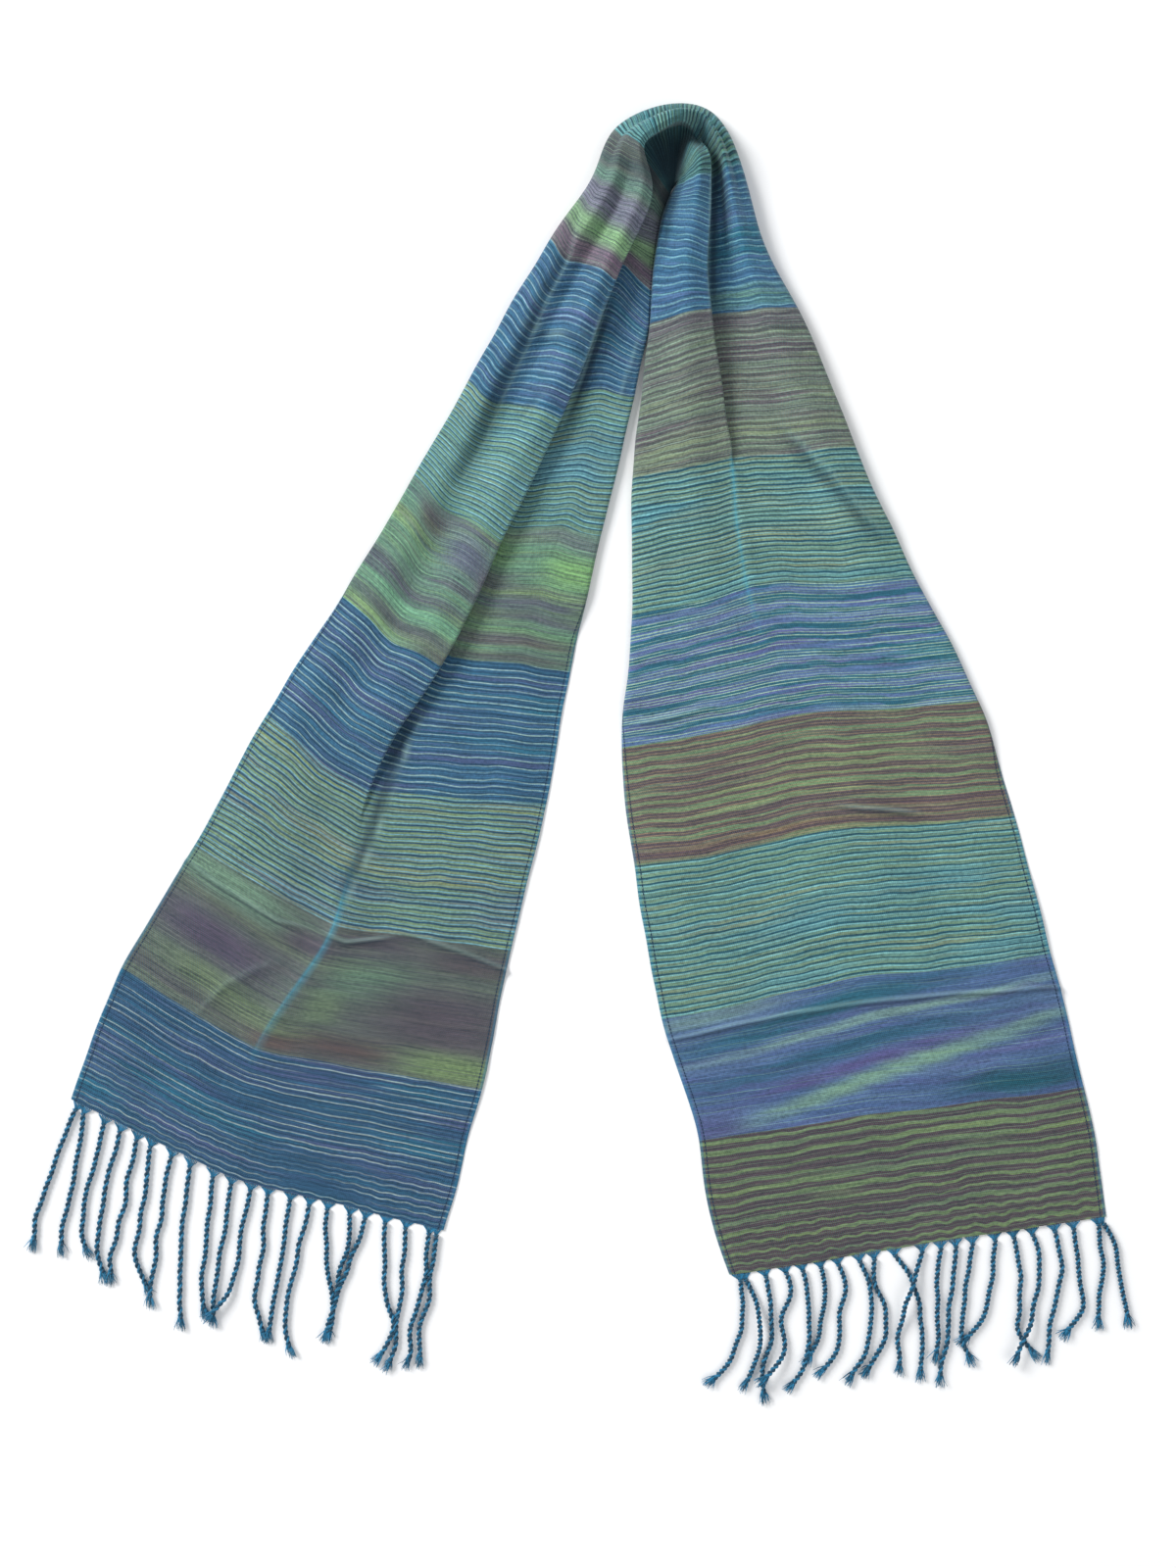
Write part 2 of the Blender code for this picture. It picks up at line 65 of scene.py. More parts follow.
# The plan of the laid cloth at places along it, which are counted in bands from the left hem: its outer
# edge, the line where its outer part folds back, the turn hidden under that fold, and its inner edge.
PLAN_COLUMNS = (
    "band", "outer_x", "outer_y", "edge_x", "edge_y", "under_x", "under_y", "inner_x", "inner_y",
)
PLAN = (
    (0.00, -389, -270, -268, -330, -268, -330, -105, -369),
    (1.00, -351, -169, -249, -231, -249, -231, -76, -262),
    (2.00, -295, -74, -190, -137, -190, -137, -53, -155),
    (3.00, -240, 26, -161, -32, -146, -35, -27, -44),
    (4.00, -182, 117, -106, 62, -98, 70, -8, 58),
    (5.00, -126, 209, -59, 157, -51, 172, 16, 162),
    (6.00, -85, 281, -14, 249, 0, 272, 41.5, 269),
    (7.00, -22, 389, 27, 353, 34, 369, 55.7, 350),
    (7.50, 5, 429, 46, 395, 50, 399, 60.3, 396),
    (7.75, 15, 448, 55, 423, 58, 424, 65.5, 412),
    (8.00, 27, 471, 48, 451, 53, 447, 69.5, 424),
    (8.25, 51, 487, 59, 464, 62, 460, 71, 428),
    (8.50, 75, 493, 75, 472, 75, 466, 73, 431),
    (8.75, 101, 485, 90, 466, 88, 462, 75, 433),
    (9.00, 118, 458, 99, 446, 97, 446, 75, 431),
    (9.50, 138, 392, 97, 388, 98, 388, 60.5, 397),
    (10.00, 166, 335, 99, 333, 103, 332, 53, 324),
    (11.00, 211, 228, 116, 220, 118, 220, 40, 205),
    (12.00, 256, 131, 130, 119, 130, 119, 40, 100),
    (13.00, 304, 36, 168, 23, 168, 23, 32, 0),
    (14.00, 333, -53, 190, -66, 190, -66, 42, -91),
    (15.00, 361, -158, 209, -179, 209, -179, 63, -208),
    (16.00, 386, -260, 249, -278, 249, -278, 91, -301),
    (16.50, 396, -310, 254, -330, 254, -330, 99, -355),
    (17.00, 403, -359, 256, -381, 256, -381, 115, -404),
)
# The folds at places along the cloth: how far the outer part laps over the inner one, or under it where
# this is less than 0, the way between them where neither laps, how much of each edge is turned under and
# how round, the heights across the outer part, and those across the inner part.
FOLD_COLUMNS = (
    "band", "lap", "bridge", "outer_turn", "inner_turn", "outer_roll", "inner_roll",
    "ridge", "valley", "flap", "outer_end", "inner_start", "panel", "panel_side",
)
FOLDS = (
    (0.0, 0, 4, 1.5, 1.5, 3.0, 3.0, 2, 0, 2, 2, 2, 0, 0),
    (1.0, 0, 4, 1.5, 1.5, 3.0, 3.0, 2, 1, 1, 1, 1, 0, 0),
    (2.0, 0, 4, 1.5, 1.5, 3.0, 3.0, 4, 5, 1.5, 1, 1, 2, 2),
    (2.7, 0, 4, 1.5, 1.5, 3.0, 3.0, 5, 6, 3, 1.5, 1, 3, 3),
    (3.0, 4, 0, 1.5, 1.5, 3.0, 3.0, 6, 6, 6, 5, 1, 4, 4),
    (3.4, 16, 0, 3.0, 1.5, 3.0, 3.0, 8, 6, 11, 10, 0, 4, 4),
    (4.0, 32, 0, 6.0, 1.5, 3.0, 3.0, 9, 6, 15, 14, 0, 4, 5),
    (5.0, 36, 0, 26.0, 12.0, 3.5, 2.5, 12, 7, 17, 15, 0, 4, 5),
    (6.0, 36, 0, 30.0, 14.0, 5.0, 2.5, 15, 5, 20, 16, 0, 4, 5),
    (7.0, 28, 0, 26.0, 3.0, 7.0, 3.0, 18, 8, 25, 20, 0, 2, 2),
    (7.5, 18, 0, 26.0, 3.0, 8.0, 3.0, 21, 13, 29, 24, 0, 2, 2),
    (8.0, 9, 0, 24.0, 3.0, 9.0, 3.0, 28, 31, 33, 30, 1, 1, 1),
    (8.5, 8, 0, 20.0, 3.0, 10.0, 3.0, 32, 35, 34, 31, 2, 1, 2),
    (8.75, 0, 6, 20.0, 12.0, 9.0, 4.0, 28, 22, 9, 6, 8, 21, 14),
    (9.0, -5, 2, 20.0, 20.0, 8.0, 7.0, 22, 9, 3, 2, 24, 30, 22),
    (9.5, -16, 0, 22.0, 22.0, 7.0, 6.0, 19, 5, 2, 0, 22, 27, 19),
    (10.0, -26, 0, 24.0, 22.0, 6.0, 5.0, 16, 4, 2, 0, 18, 22, 15),
    (10.5, -18, 0, 24.0, 21.0, 5.0, 4.5, 14, 6, 3, 1, 14, 18, 12),
    (10.9, -4, 0, 23.0, 20.0, 4.6, 4.0, 13, 5, 5, 4, 9, 14, 10),
    (11.1, 0, 5, 22.0, 20.0, 4.5, 4.0, 13, 5, 7, 7.5, 7.5, 13, 10),
    (12.0, 0, 5, 16.0, 16.0, 3.0, 3.0, 9, 5, 6, 6, 6, 8, 7),
    (13.0, 0, 4, 9.0, 5.0, 3.0, 3.0, 5, 3, 4, 4, 4, 4, 4),
    (14.0, 0, 4, 1.5, 1.5, 3.0, 3.0, 3, 0, 3, 3, 3, 0, 3),
    (15.0, 0, 4, 1.5, 1.5, 3.0, 3.0, 2, 0, 3, 2, 2, 0, 1),
    (16.0, 0, 4, 1.5, 1.5, 3.0, 3.0, 2, 0, 1, 1, 1, 0, 0),
    (17.0, 0, 4, 1.5, 1.5, 3.0, 3.0, 1, 0, 1, 1, 1, 0, 0),
)
# Where across the outer and the inner part those heights lie, as shares of the part.
RIDGE_AT, VALLEY_AT, FLAP_AT = 0.22, 0.46, 0.82
PANEL_AT, PANEL_SIDE_AT = 0.38, 0.74
# The two round folds of a lap: their radius, the lap from which they are full, and their least height.
LAP_ROUND, LAP_BLEND, ROUND_SHARE, LEAST_DROP = 1.7, 8.0, 0.95, 0.01
TURN_SHARE, TURN_START = 0.2, 0.1

# Points across one section: in each turned edge, the outer part, the lap and the inner part.
TURN_STEPS, OUTER_STEPS, LAP_STEPS, INNER_STEPS = 6, 40, 14, 30
# Rows along the cloth, in bands: their steps, closer ones in the bend and where creases are sharp, and the
# two rows close to each colour change.
LEG_ROWS_STEP, CROWN_ROWS_STEP = 0.05, 0.025
CROWN_FROM, CROWN_TO = 7.2, 9.6
BAND_EDGE, EDGE_SLACK = 0.003, 1.1
SHARP_STRETCHES = (
    (1.70, 2.15, 0.0125),
    (12.70, 12.95, 0.02),
    (13.76, 13.92, 0.0125),
    (15.10, 15.42, 0.0125),
)
TINY, FAR = 1e-6, 1e9


def curve_through(rows):
    """A smooth curve through the rows' values, over their first column, that never overshoots them."""
    rows = np.array(rows, float)
    x, y = rows[:, 0], rows[:, 1:]
    step = np.diff(x)[:, None]
    slope = np.diff(y, axis=0) / step
    tangent = np.zeros_like(y)
    tangent[0], tangent[-1] = slope[0], slope[-1]
    same = slope[:-1] * slope[1:] > 0
    weight_a = 2 * step[1:] + step[:-1]
    weight_b = step[1:] + 2 * step[:-1]
    with np.errstate(divide="ignore", invalid="ignore"):
        mean = (weight_a + weight_b) / (weight_a / slope[:-1] + weight_b / slope[1:])
    tangent[1:-1] = np.where(same, mean, 0)

    def value(at):
        i = min(max(bisect.bisect_right(x, at) - 1, 0), len(x) - 2)
        h = x[i + 1] - x[i]
        u = (at - x[i]) / h
        return (
            y[i] * (1 + 2 * u) * (1 - u) ** 2
            + tangent[i] * h * u * (1 - u) ** 2
            + y[i + 1] * u * u * (3 - 2 * u)
            + tangent[i + 1] * h * u * u * (u - 1)
        )

    return value


def natural_curve(rows):
    """A round curve through the rows' points, over their first column, for plan positions."""
    rows = np.array(rows, float)
    x, y = rows[:, 0], rows[:, 1:]
    count = len(x)
    system = np.zeros((count, count))
    right = np.zeros_like(y)
    system[0, 0] = system[-1, -1] = 1
    for i in range(1, count - 1):
        before, after = x[i] - x[i - 1], x[i + 1] - x[i]
        system[i, i - 1: i + 2] = before, 2 * (before + after), after
        right[i] = 6 * ((y[i + 1] - y[i]) / after - (y[i] - y[i - 1]) / before)
    bend = np.linalg.solve(system, right)

    def value(at):
        i = min(max(bisect.bisect_right(x, at) - 1, 0), count - 2)
        h = x[i + 1] - x[i]
        a, b = x[i + 1] - at, at - x[i]
        return (
            bend[i] * a ** 3 / (6 * h)
            + bend[i + 1] * b ** 3 / (6 * h)
            + (y[i] / h - bend[i] * h / 6) * a
            + (y[i + 1] / h - bend[i + 1] * h / 6) * b
        )

    return value


plan_at = natural_curve(PLAN)
folds_at = curve_through(FOLDS)


def along(route, share):
    """The point at a share of the way along a route of straight stretches."""
    lengths = [np.linalg.norm(b - a) for a, b in zip(route, route[1:])]
    left = share * sum(lengths)
    for a, b, length in zip(route, route[1:], lengths):
        if left <= length and length > 0:
            return a + (b - a) * left / length
        left -= length
    return route[-1]


def turned_under(width, radius):
    """An edge folded under: distances in from the edge and heights, from the hidden hem up to the top."""
    angle = min(math.pi, width / radius)
    run = width - angle * radius
    first = math.pi - angle
    edge = 1 if angle >= math.pi / 2 else math.sin(first)
    points = [(radius * (edge - math.sin(first)) + run, 0.0)]
    for i in range(TURN_STEPS):
        turn = first + angle * (TURN_START + (1 - TURN_START) * i / (TURN_STEPS - 1))
        points.append((radius * (edge - math.sin(turn)), radius * (math.cos(first) - math.cos(turn))))
    return points


def double_bend(first, last, heading):
    """The cloth between two layers: round one fold, across, and round the other. Its ends are left out."""
    heading = np.array([*heading, 0]) / np.linalg.norm(heading)
    way = last - first
    ahead, drop = way @ heading, first[2] - last[2]
    sideways = way - heading * ahead
    sideways[2] = 0
    fall = max(abs(drop), LEAST_DROP)
    radius = min(LAP_ROUND, ROUND_SHARE * (ahead ** 2 + fall ** 2) / (4 * fall))
    apart = math.hypot(ahead, fall - 2 * radius)
    angle = math.atan2(fall - 2 * radius, ahead) + math.asin(min(1, 2 * radius / apart))
    straight = math.sqrt(max(apart ** 2 - 4 * radius ** 2, 0))
    bend = radius * angle
    total = 2 * bend + straight
    near = max(bend, TURN_SHARE * total)
    third = (LAP_STEPS - 2) // 2
    marks = [near * i / third for i in range(1, third + 1)]
    rest = LAP_STEPS - 2 * third
    marks += [near + (total - 2 * near) * i / rest for i in range(1, rest)]
    marks += [total - near * i / third for i in range(third, 0, -1)]
    points = []
    for mark in marks:
        if mark < bend:
            turn = mark / radius
            x, z = radius * math.sin(turn), radius * (1 - math.cos(turn))
        elif mark <= bend + straight:
            x = radius * math.sin(angle) + (mark - bend) * math.cos(angle)
            z = radius * (1 - math.cos(angle)) + (mark - bend) * math.sin(angle)
        else:
            turn = (total - mark) / radius
            x, z = ahead - radius * math.sin(turn), fall - radius * (1 - math.cos(turn))
        place = first + heading * x + sideways * mark / total
        place[2] = first[2] - z * (drop / fall)
        points.append(tuple(place))
    return points


def section(band):
    """The middle line of the cloth across one section, from its outer to its inner edge."""
    plan = dict(zip(PLAN_COLUMNS[1:], plan_at(band)))
    fold = dict(zip(FOLD_COLUMNS[1:], folds_at(band)))
    outer = np.array([plan["outer_x"], plan["outer_y"]])
    edge = np.array([plan["edge_x"], plan["edge_y"]])
    under = np.array([plan["under_x"], plan["under_y"]])
    inner = np.array([plan["inner_x"], plan["inner_y"]])
    outward_in = (edge - outer) / np.linalg.norm(edge - outer)
    edge_in = (inner - edge) / np.linalg.norm(inner - edge)
    lap, bridge = fold["lap"], fold["bridge"]
    over = min(max(lap / LAP_BLEND, -1), 1)
    lean = (under - edge) / 2

    outer_end = edge - outward_in * (bridge / 2 + LAP_ROUND * over)
    inner_start = edge + edge_in * (bridge / 2 - LAP_ROUND * over)
    if lap > 0:
        inner_start = inner_start - outward_in * (lap - 2 * LAP_ROUND * over) + lean * over
    else:
        outer_end = outer_end - edge_in * (lap - 2 * LAP_ROUND * over) - lean * over

    points = []
    for inward, height in turned_under(fold["outer_turn"], fold["outer_roll"]):
        points.append((*(outer + outward_in * inward), height))
    start_height = points[-1][2]
    start = np.array(points.pop()[:2])
    profile = curve_through((
        (0, start_height), (RIDGE_AT, fold["ridge"]), (VALLEY_AT, fold["valley"]),
        (FLAP_AT, fold["flap"]), (1, fold["outer_end"]),
    ))
    hidden = -min(over, 0)
    route = [start, under * hidden + outer_end * (1 - hidden), outer_end]
    for i in range(OUTER_STEPS + 1):
        share = i / OUTER_STEPS
        points.append((*along(route, share), profile(share)[0]))

    inner_turn = turned_under(fold["inner_turn"], fold["inner_roll"])
    end = inner - edge_in * inner_turn[-1][0]
    end_height = inner_turn[-1][1]
    first, last = np.array(points[-1]), np.array([*inner_start, fold["inner_start"]])
    points += double_bend(first, last, outward_in + edge_in)

    profile = curve_through((
        (0, fold["inner_start"]), (PANEL_AT, fold["panel"]),
        (PANEL_SIDE_AT, fold["panel_side"]), (1, end_height),
    ))
    hidden = max(over, 0)
    route = [inner_start, under * hidden + inner_start * (1 - hidden), end]
    for i in range(INNER_STEPS + 1):
        share = i / INNER_STEPS
        points.append((*along(route, share), profile(share)[0]))
    for inward, height in reversed(inner_turn[:-1]):
        points.append((*(inner - edge_in * inward), height))
    return np.array(points)


def at_colour_change(place):
    """Whether a place along the cloth is a hem or beside a colour change."""
    return abs(place - round(place)) < BAND_EDGE * EDGE_SLACK


def row_places():
    """Where the rows of the cloth lie along it, in bands, with two close rows at each colour change."""
    places = []
    at = 0.0
    while at < BANDS + TINY:
        places.append(round(at, 4))
        at += CROWN_ROWS_STEP if CROWN_FROM <= at < CROWN_TO else LEG_ROWS_STEP
    places = [p for p in places if abs(p - round(p)) > TINY or p in (0.0, float(BANDS))]
    for band in range(1, BANDS):
        places += [band - BAND_EDGE, band + BAND_EDGE]
    for first, last, step in SHARP_STRETCHES:
        places = [p for p in places if not first - TINY <= p <= last + TINY or at_colour_change(p)]
        closer = [first + step * i for i in range(round((last - first) / step) + 1)]
        places += [p for p in closer if not at_colour_change(p)]
    return sorted(set(round(p, 5) for p in places))


# Creases, listed one by one. Each has a line of plan points in millimetres, how far the flanks to the left
# and to the right of its way reach, how high it stands, how much of the warp shows on it, how strong its
# painted shade and painted highlight are, and how wide the painted shade is. The painted shade lies to the
# right of the way.
CREASES = {
    "tail_crest": (
        ((-146, -37), (-160, -73), (-176, -108), (-188, -137),
         (-205, -163), (-224, -192), (-240, -217), (-262, -248)),
        26.0, 10.0, 5.0, 0.0, 0.0, 1.0,
    ),
    "tail_crest_top": (
        ((-116, 32), (-128, 4), (-140, -24), (-152, -52)),
        10.0, 8.0, 1.5, 0.0, 0.0, 1.0,
    ),
    "groove_left": (
        ((3, 420), (-8, 376), (-24, 346), (-50, 290), (-74, 235), (-100, 190)),
        6.0, 9.0, -4.5, 0.0, 0.65, 4.5,
    ),
    "front_crest": (
        ((113, 248), (114, 236), (118, 209), (121, 189), (126, 164), (132, 124), (137, 96)),
        7.0, 9.0, 2.0, 0.0, 0.0, 1.0,
    ),
    "cross_left": (
        ((-345, -58), (-310, -80), (-275, -106), (-233, -132), (-200, -142)),
        2.0, 5.0, 2.6, 0.0, 0.7, 1.0,
    ),
    "cross_middle": (
        ((-202, -141), (-180, -150), (-160, -148), (-140, -146)),
        2.0, 3.0, 2.2, 0.0, 0.9, 1.0,
    ),
    "cross_inner": (
        ((-160, -140), (-122, -146), (-95, -156), (-57, -170), (-25, -181)),
        2.0, 4.0, 2.4, 0.0, 0.7, 1.0,
    ),
    "arc_left": (
        ((-298, -208), (-272, -182), (-245, -168), (-222, -164)),
        4.0, 7.0, 3.0, 0.0, 0.3, 1.6,
    ),
    "pinch_left": (
        ((-46, 325), (-34, 319), (-23, 315), (-8, 312), (10, 309)),
        3.0, 4.0, 2.4, 0.0, 0.75, 2.0,
    ),
    "slant_left": (
        ((-24, 275), (-38, 258), (-50, 244)),
        4.0, 7.0, 2.2, 0.0, 0.3, 2.5,
    ),
    "slant_right": (
        ((148, 250), (170, 228), (192, 205), (219, 172), (238, 152)),
        16.0, 6.0, 4.6, 0.15, 0.7, 4.5,
    ),
    "kink_right": (
        ((36, 16), (56, 19), (82, 24), (110, 32)),
        2.5, 6.0, 3.2, 0.0, 0.6, 1.0,
    ),
    "pinch_right": (
        ((190, -44), (216, -48), (240, -50), (266, -52)),
        2.0, 3.5, 2.6, 0.0, 0.9, 1.0,
    ),
    "cross_right": (
        ((20, -236), (62, -226), (120, -212), (202, -198), (290, -188), (374, -184), (410, -181)),
        2.0, 5.0, 3.0, 0.0, 0.9, 1.0,
    ),
}
# Painted shade along slits and wedges that lie deeper than the cloth here: their line, how strong their
# painted shade and highlight are, and how wide the shade is.
SLITS = {
    "wedge_below_flap": (
        ((-119, 34), (-131, 6), (-141, -21), (-155, -59), (-175, -109), (-187, -137)), 0.95, 5.0,
    ),
    "slit_beside_flap": (((-18, 233), (-6, 261), (2, 281), (9, 302), (17, 324), (25, 347)), 1.00, 2.6),
    "side_of_panel": (((28, 255), (36, 279), (43, 300), (49, 322)), 0.50, 2.5),
    "slit_beside_tongue": (((100, 322), (99, 350), (99, 380), (100, 410), (102, 440), (101, 470)), 0.95, 3.0),
}
# How soon a crease fades in from its ends, how round its top is and how fast it falls, how far its warp
# shows, and where its painted shade and its painted highlight lie and how far they reach.
CREASE_FADE, CREST_ROUND, CREST_FALL, WARP_REACH = 4.0, 0.25, 1.6, 1.8
PAINTED_SHADE_AT, PAINTED_SHADE_REACH = -0.8, 1.2
PAINTED_HIGHLIGHT_AT, PAINTED_HIGHLIGHT_REACH = 1.6, 1.3


def from_line(x, y, line):
    """How far plan points lie to the left of a line's way, and how strong a crease on it is beside them."""
    distance = np.full_like(x, FAR)
    share, side = np.zeros_like(x), np.zeros_like(x)
    count = len(line) - 1
    for i, (a, b) in enumerate(zip(line, line[1:])):
        way = np.array(b, float) - a
        ahead, aside = x - a[0], y - a[1]
        u = np.clip((ahead * way[0] + aside * way[1]) / (way @ way), 0, 1)
        apart = np.hypot(ahead - way[0] * u, aside - way[1] * u)
        closer = apart < distance
        distance = np.where(closer, apart, distance)
        share = np.where(closer, (i + u) / count, share)
        side = np.where(closer, way[0] * aside - way[1] * ahead, side)
    fade = np.clip(np.minimum(share, 1 - share) * CREASE_FADE, 0, 1)
    return np.where(side > 0, distance, -distance), fade


def painted_sides(aside, width):
    """The painted shade and the painted highlight beside a crease, at distances to the left of its line."""
    dark = np.exp(-(((aside / width - PAINTED_SHADE_AT) / PAINTED_SHADE_REACH) ** 2))
    pale = np.exp(-(((aside - PAINTED_HIGHLIGHT_AT) / PAINTED_HIGHLIGHT_REACH) ** 2))
    return np.array([dark, pale])


def crease_rise(x, y):
    """The creases at plan points: the rise, the warp that shows, and the painted shade and painted highlight
    beside creases and slits.
    """
    rise, shown = np.zeros_like(x), np.zeros_like(x)
    sides = np.zeros((2, *x.shape))
    for line, left, right, height, warp, shade, width in CREASES.values():
        aside, fade = from_line(x, y, line)
        reach = np.where(aside > 0, left, right)
        soft = np.sqrt((aside / reach) ** 2 + CREST_ROUND ** 2) - CREST_ROUND
        rise += height * fade * np.exp(-soft * CREST_FALL)
        shown += warp * fade * np.exp(-((aside / WARP_REACH) ** 2))
        sides += shade * fade * painted_sides(aside, width)
    for line, shade, width in SLITS.values():
        aside, fade = from_line(x, y, line)
        sides += shade * fade * painted_sides(aside, width)
    return rise, shown, *sides


# Painted shade for low places inside the bend that little light reaches: plan point, reaches across and
# along, and strength; then the height up to which the cloth there is dim, over what height that fades, and
# how firm its edge is.
DIM_PLACES = ((72, 452, 26, 22, 1.0), (74, 418, 12, 22, 1.0), (70, 392, 6, 16, 0.9))
DIM_TOP, DIM_FADE, DIM_EDGE = 17.0, 7.0, 4


def dimmed(x, y, z):
    """How much painted shade the cloth gets at points inside the bend."""
    dim = np.zeros_like(x)
    for place_x, place_y, reach_x, reach_y, strength in DIM_PLACES:
        away = np.abs((x - place_x) / reach_x) ** DIM_EDGE + np.abs((y - place_y) / reach_y) ** DIM_EDGE
        dim = np.maximum(dim, strength * np.exp(-away))
    return dim * np.clip((DIM_TOP - z) / DIM_FADE, 0, 1)


def dye(code):
    """A colour of six hex digits as linear light."""
    channels = [int(code[i: i + 2], 16) / 255 for i in (0, 2, 4)]
    return tuple(c / 12.92 if c <= 0.04045 else ((c + 0.055) / 1.055) ** 2.4 for c in channels)


# A row for each colour band from the left hem: the main weft with its streak and tint, the wider
# stripe and the thin line; then the stripe's repeat in millimetres, its share and its strength; the
# line's repeat, share and strength; how many of both there are, how strongly the streaks and tints
# show, and how unevenly the stripes and lines are spaced.
BAND_COLOURS = ("ground", "streak", "tint", "second", "line")
BAND_FIGURES = (
    "stripe_repeat", "stripe_share", "stripe_strength", "line_repeat", "line_share", "line_strength",
    "presence", "streaks", "uneven",
)
BAND_TABLE = (
    ("305678", "4f5583", "226882", "1b3656", "b4c6c0", 3.4, 0.34, 0.70, 4.9, 0.17, 0.72, 0.70, 0.80, 0.40),
    ("666e61", "5b4c56", "788760", "423c48", "8fae8a", 2.8, 0.40, 0.50, 4.0, 0.20, 0.20, 0.40, 0.45, 0.60),
    ("7d9a72", "6f7680", "a0a562", "1d4264", "78b6d0", 4.4, 0.28, 0.95, 4.4, 0.20, 0.75, 0.95, 0.75, 0.20),
    ("3a678a", "505886", "2e7c94", "1c4060", "a8ccc8", 3.6, 0.36, 0.80, 5.4, 0.17, 0.75, 0.85, 0.80, 0.60),
    ("74a07e", "62566c", "92b06c", "4a4252", "a0c8a4", 3.0, 0.34, 0.45, 3.6, 0.20, 0.30, 0.50, 0.80, 0.60),
    ("729a80", "849878", "5a93a6", "1d4a6a", "8ccad6", 4.3, 0.30, 0.95, 4.3, 0.22, 0.80, 0.95, 0.75, 0.20),
    ("3c6b90", "5a6898", "348094", "1d4264", "a4d0da", 4.0, 0.36, 0.70, 5.0, 0.17, 0.70, 0.85, 0.80, 0.70),
    ("7c867a", "6d6274", "88a67e", "403a44", "a8c8a8", 3.0, 0.38, 0.60, 3.6, 0.20, 0.50, 0.60, 0.50, 0.60),
    ("4f8580", "78986f", "34808e", "123d48", "7fc0c8", 3.4, 0.40, 0.95, 3.8, 0.24, 0.70, 0.90, 0.80, 0.50),
    ("46759a", "5c73a4", "2b748a", "234f78", "94cdd8", 5.0, 0.36, 0.70, 5.2, 0.17, 0.70, 0.85, 0.90, 0.80),
    ("7b8a74", "74646a", "8d9c76", "4f4249", "a8c4ac", 5.2, 0.46, 0.66, 3.9, 0.20, 0.50, 0.80, 0.90, 0.50),
    ("789c82", "90a07a", "549aa8", "184a60", "8ccccf", 4.4, 0.34, 0.95, 4.3, 0.20, 0.80, 0.95, 0.85, 0.20),
    ("6079ab", "62629c", "2a7a88", "1f6678", "b4d6b8", 11.0, 0.46, 0.88, 2.3, 0.36, 0.85, 0.66, 0.85, 0.60),
    ("78936a", "6f6062", "8ea870", "5f444e", "b09468", 8.2, 0.60, 0.88, 2.8, 0.28, 0.50, 0.85, 0.65, 0.45),
    ("779a7e", "8c9b7a", "5c96a0", "1b5264", "88c8ca", 4.5, 0.32, 0.95, 4.5, 0.20, 0.80, 0.95, 0.80, 0.20),
    ("566c9c", "465e8c", "6a82a8", "54508a", "94bea4", 16.0, 0.26, 0.40, 2.2, 0.34, 0.45, 0.45, 0.70, 0.80),
    ("748858", "64705c", "839458", "523642", "8fa482", 8.0, 0.64, 0.90, 3.3, 0.20, 0.30, 1.00, 0.60, 0.25),
)
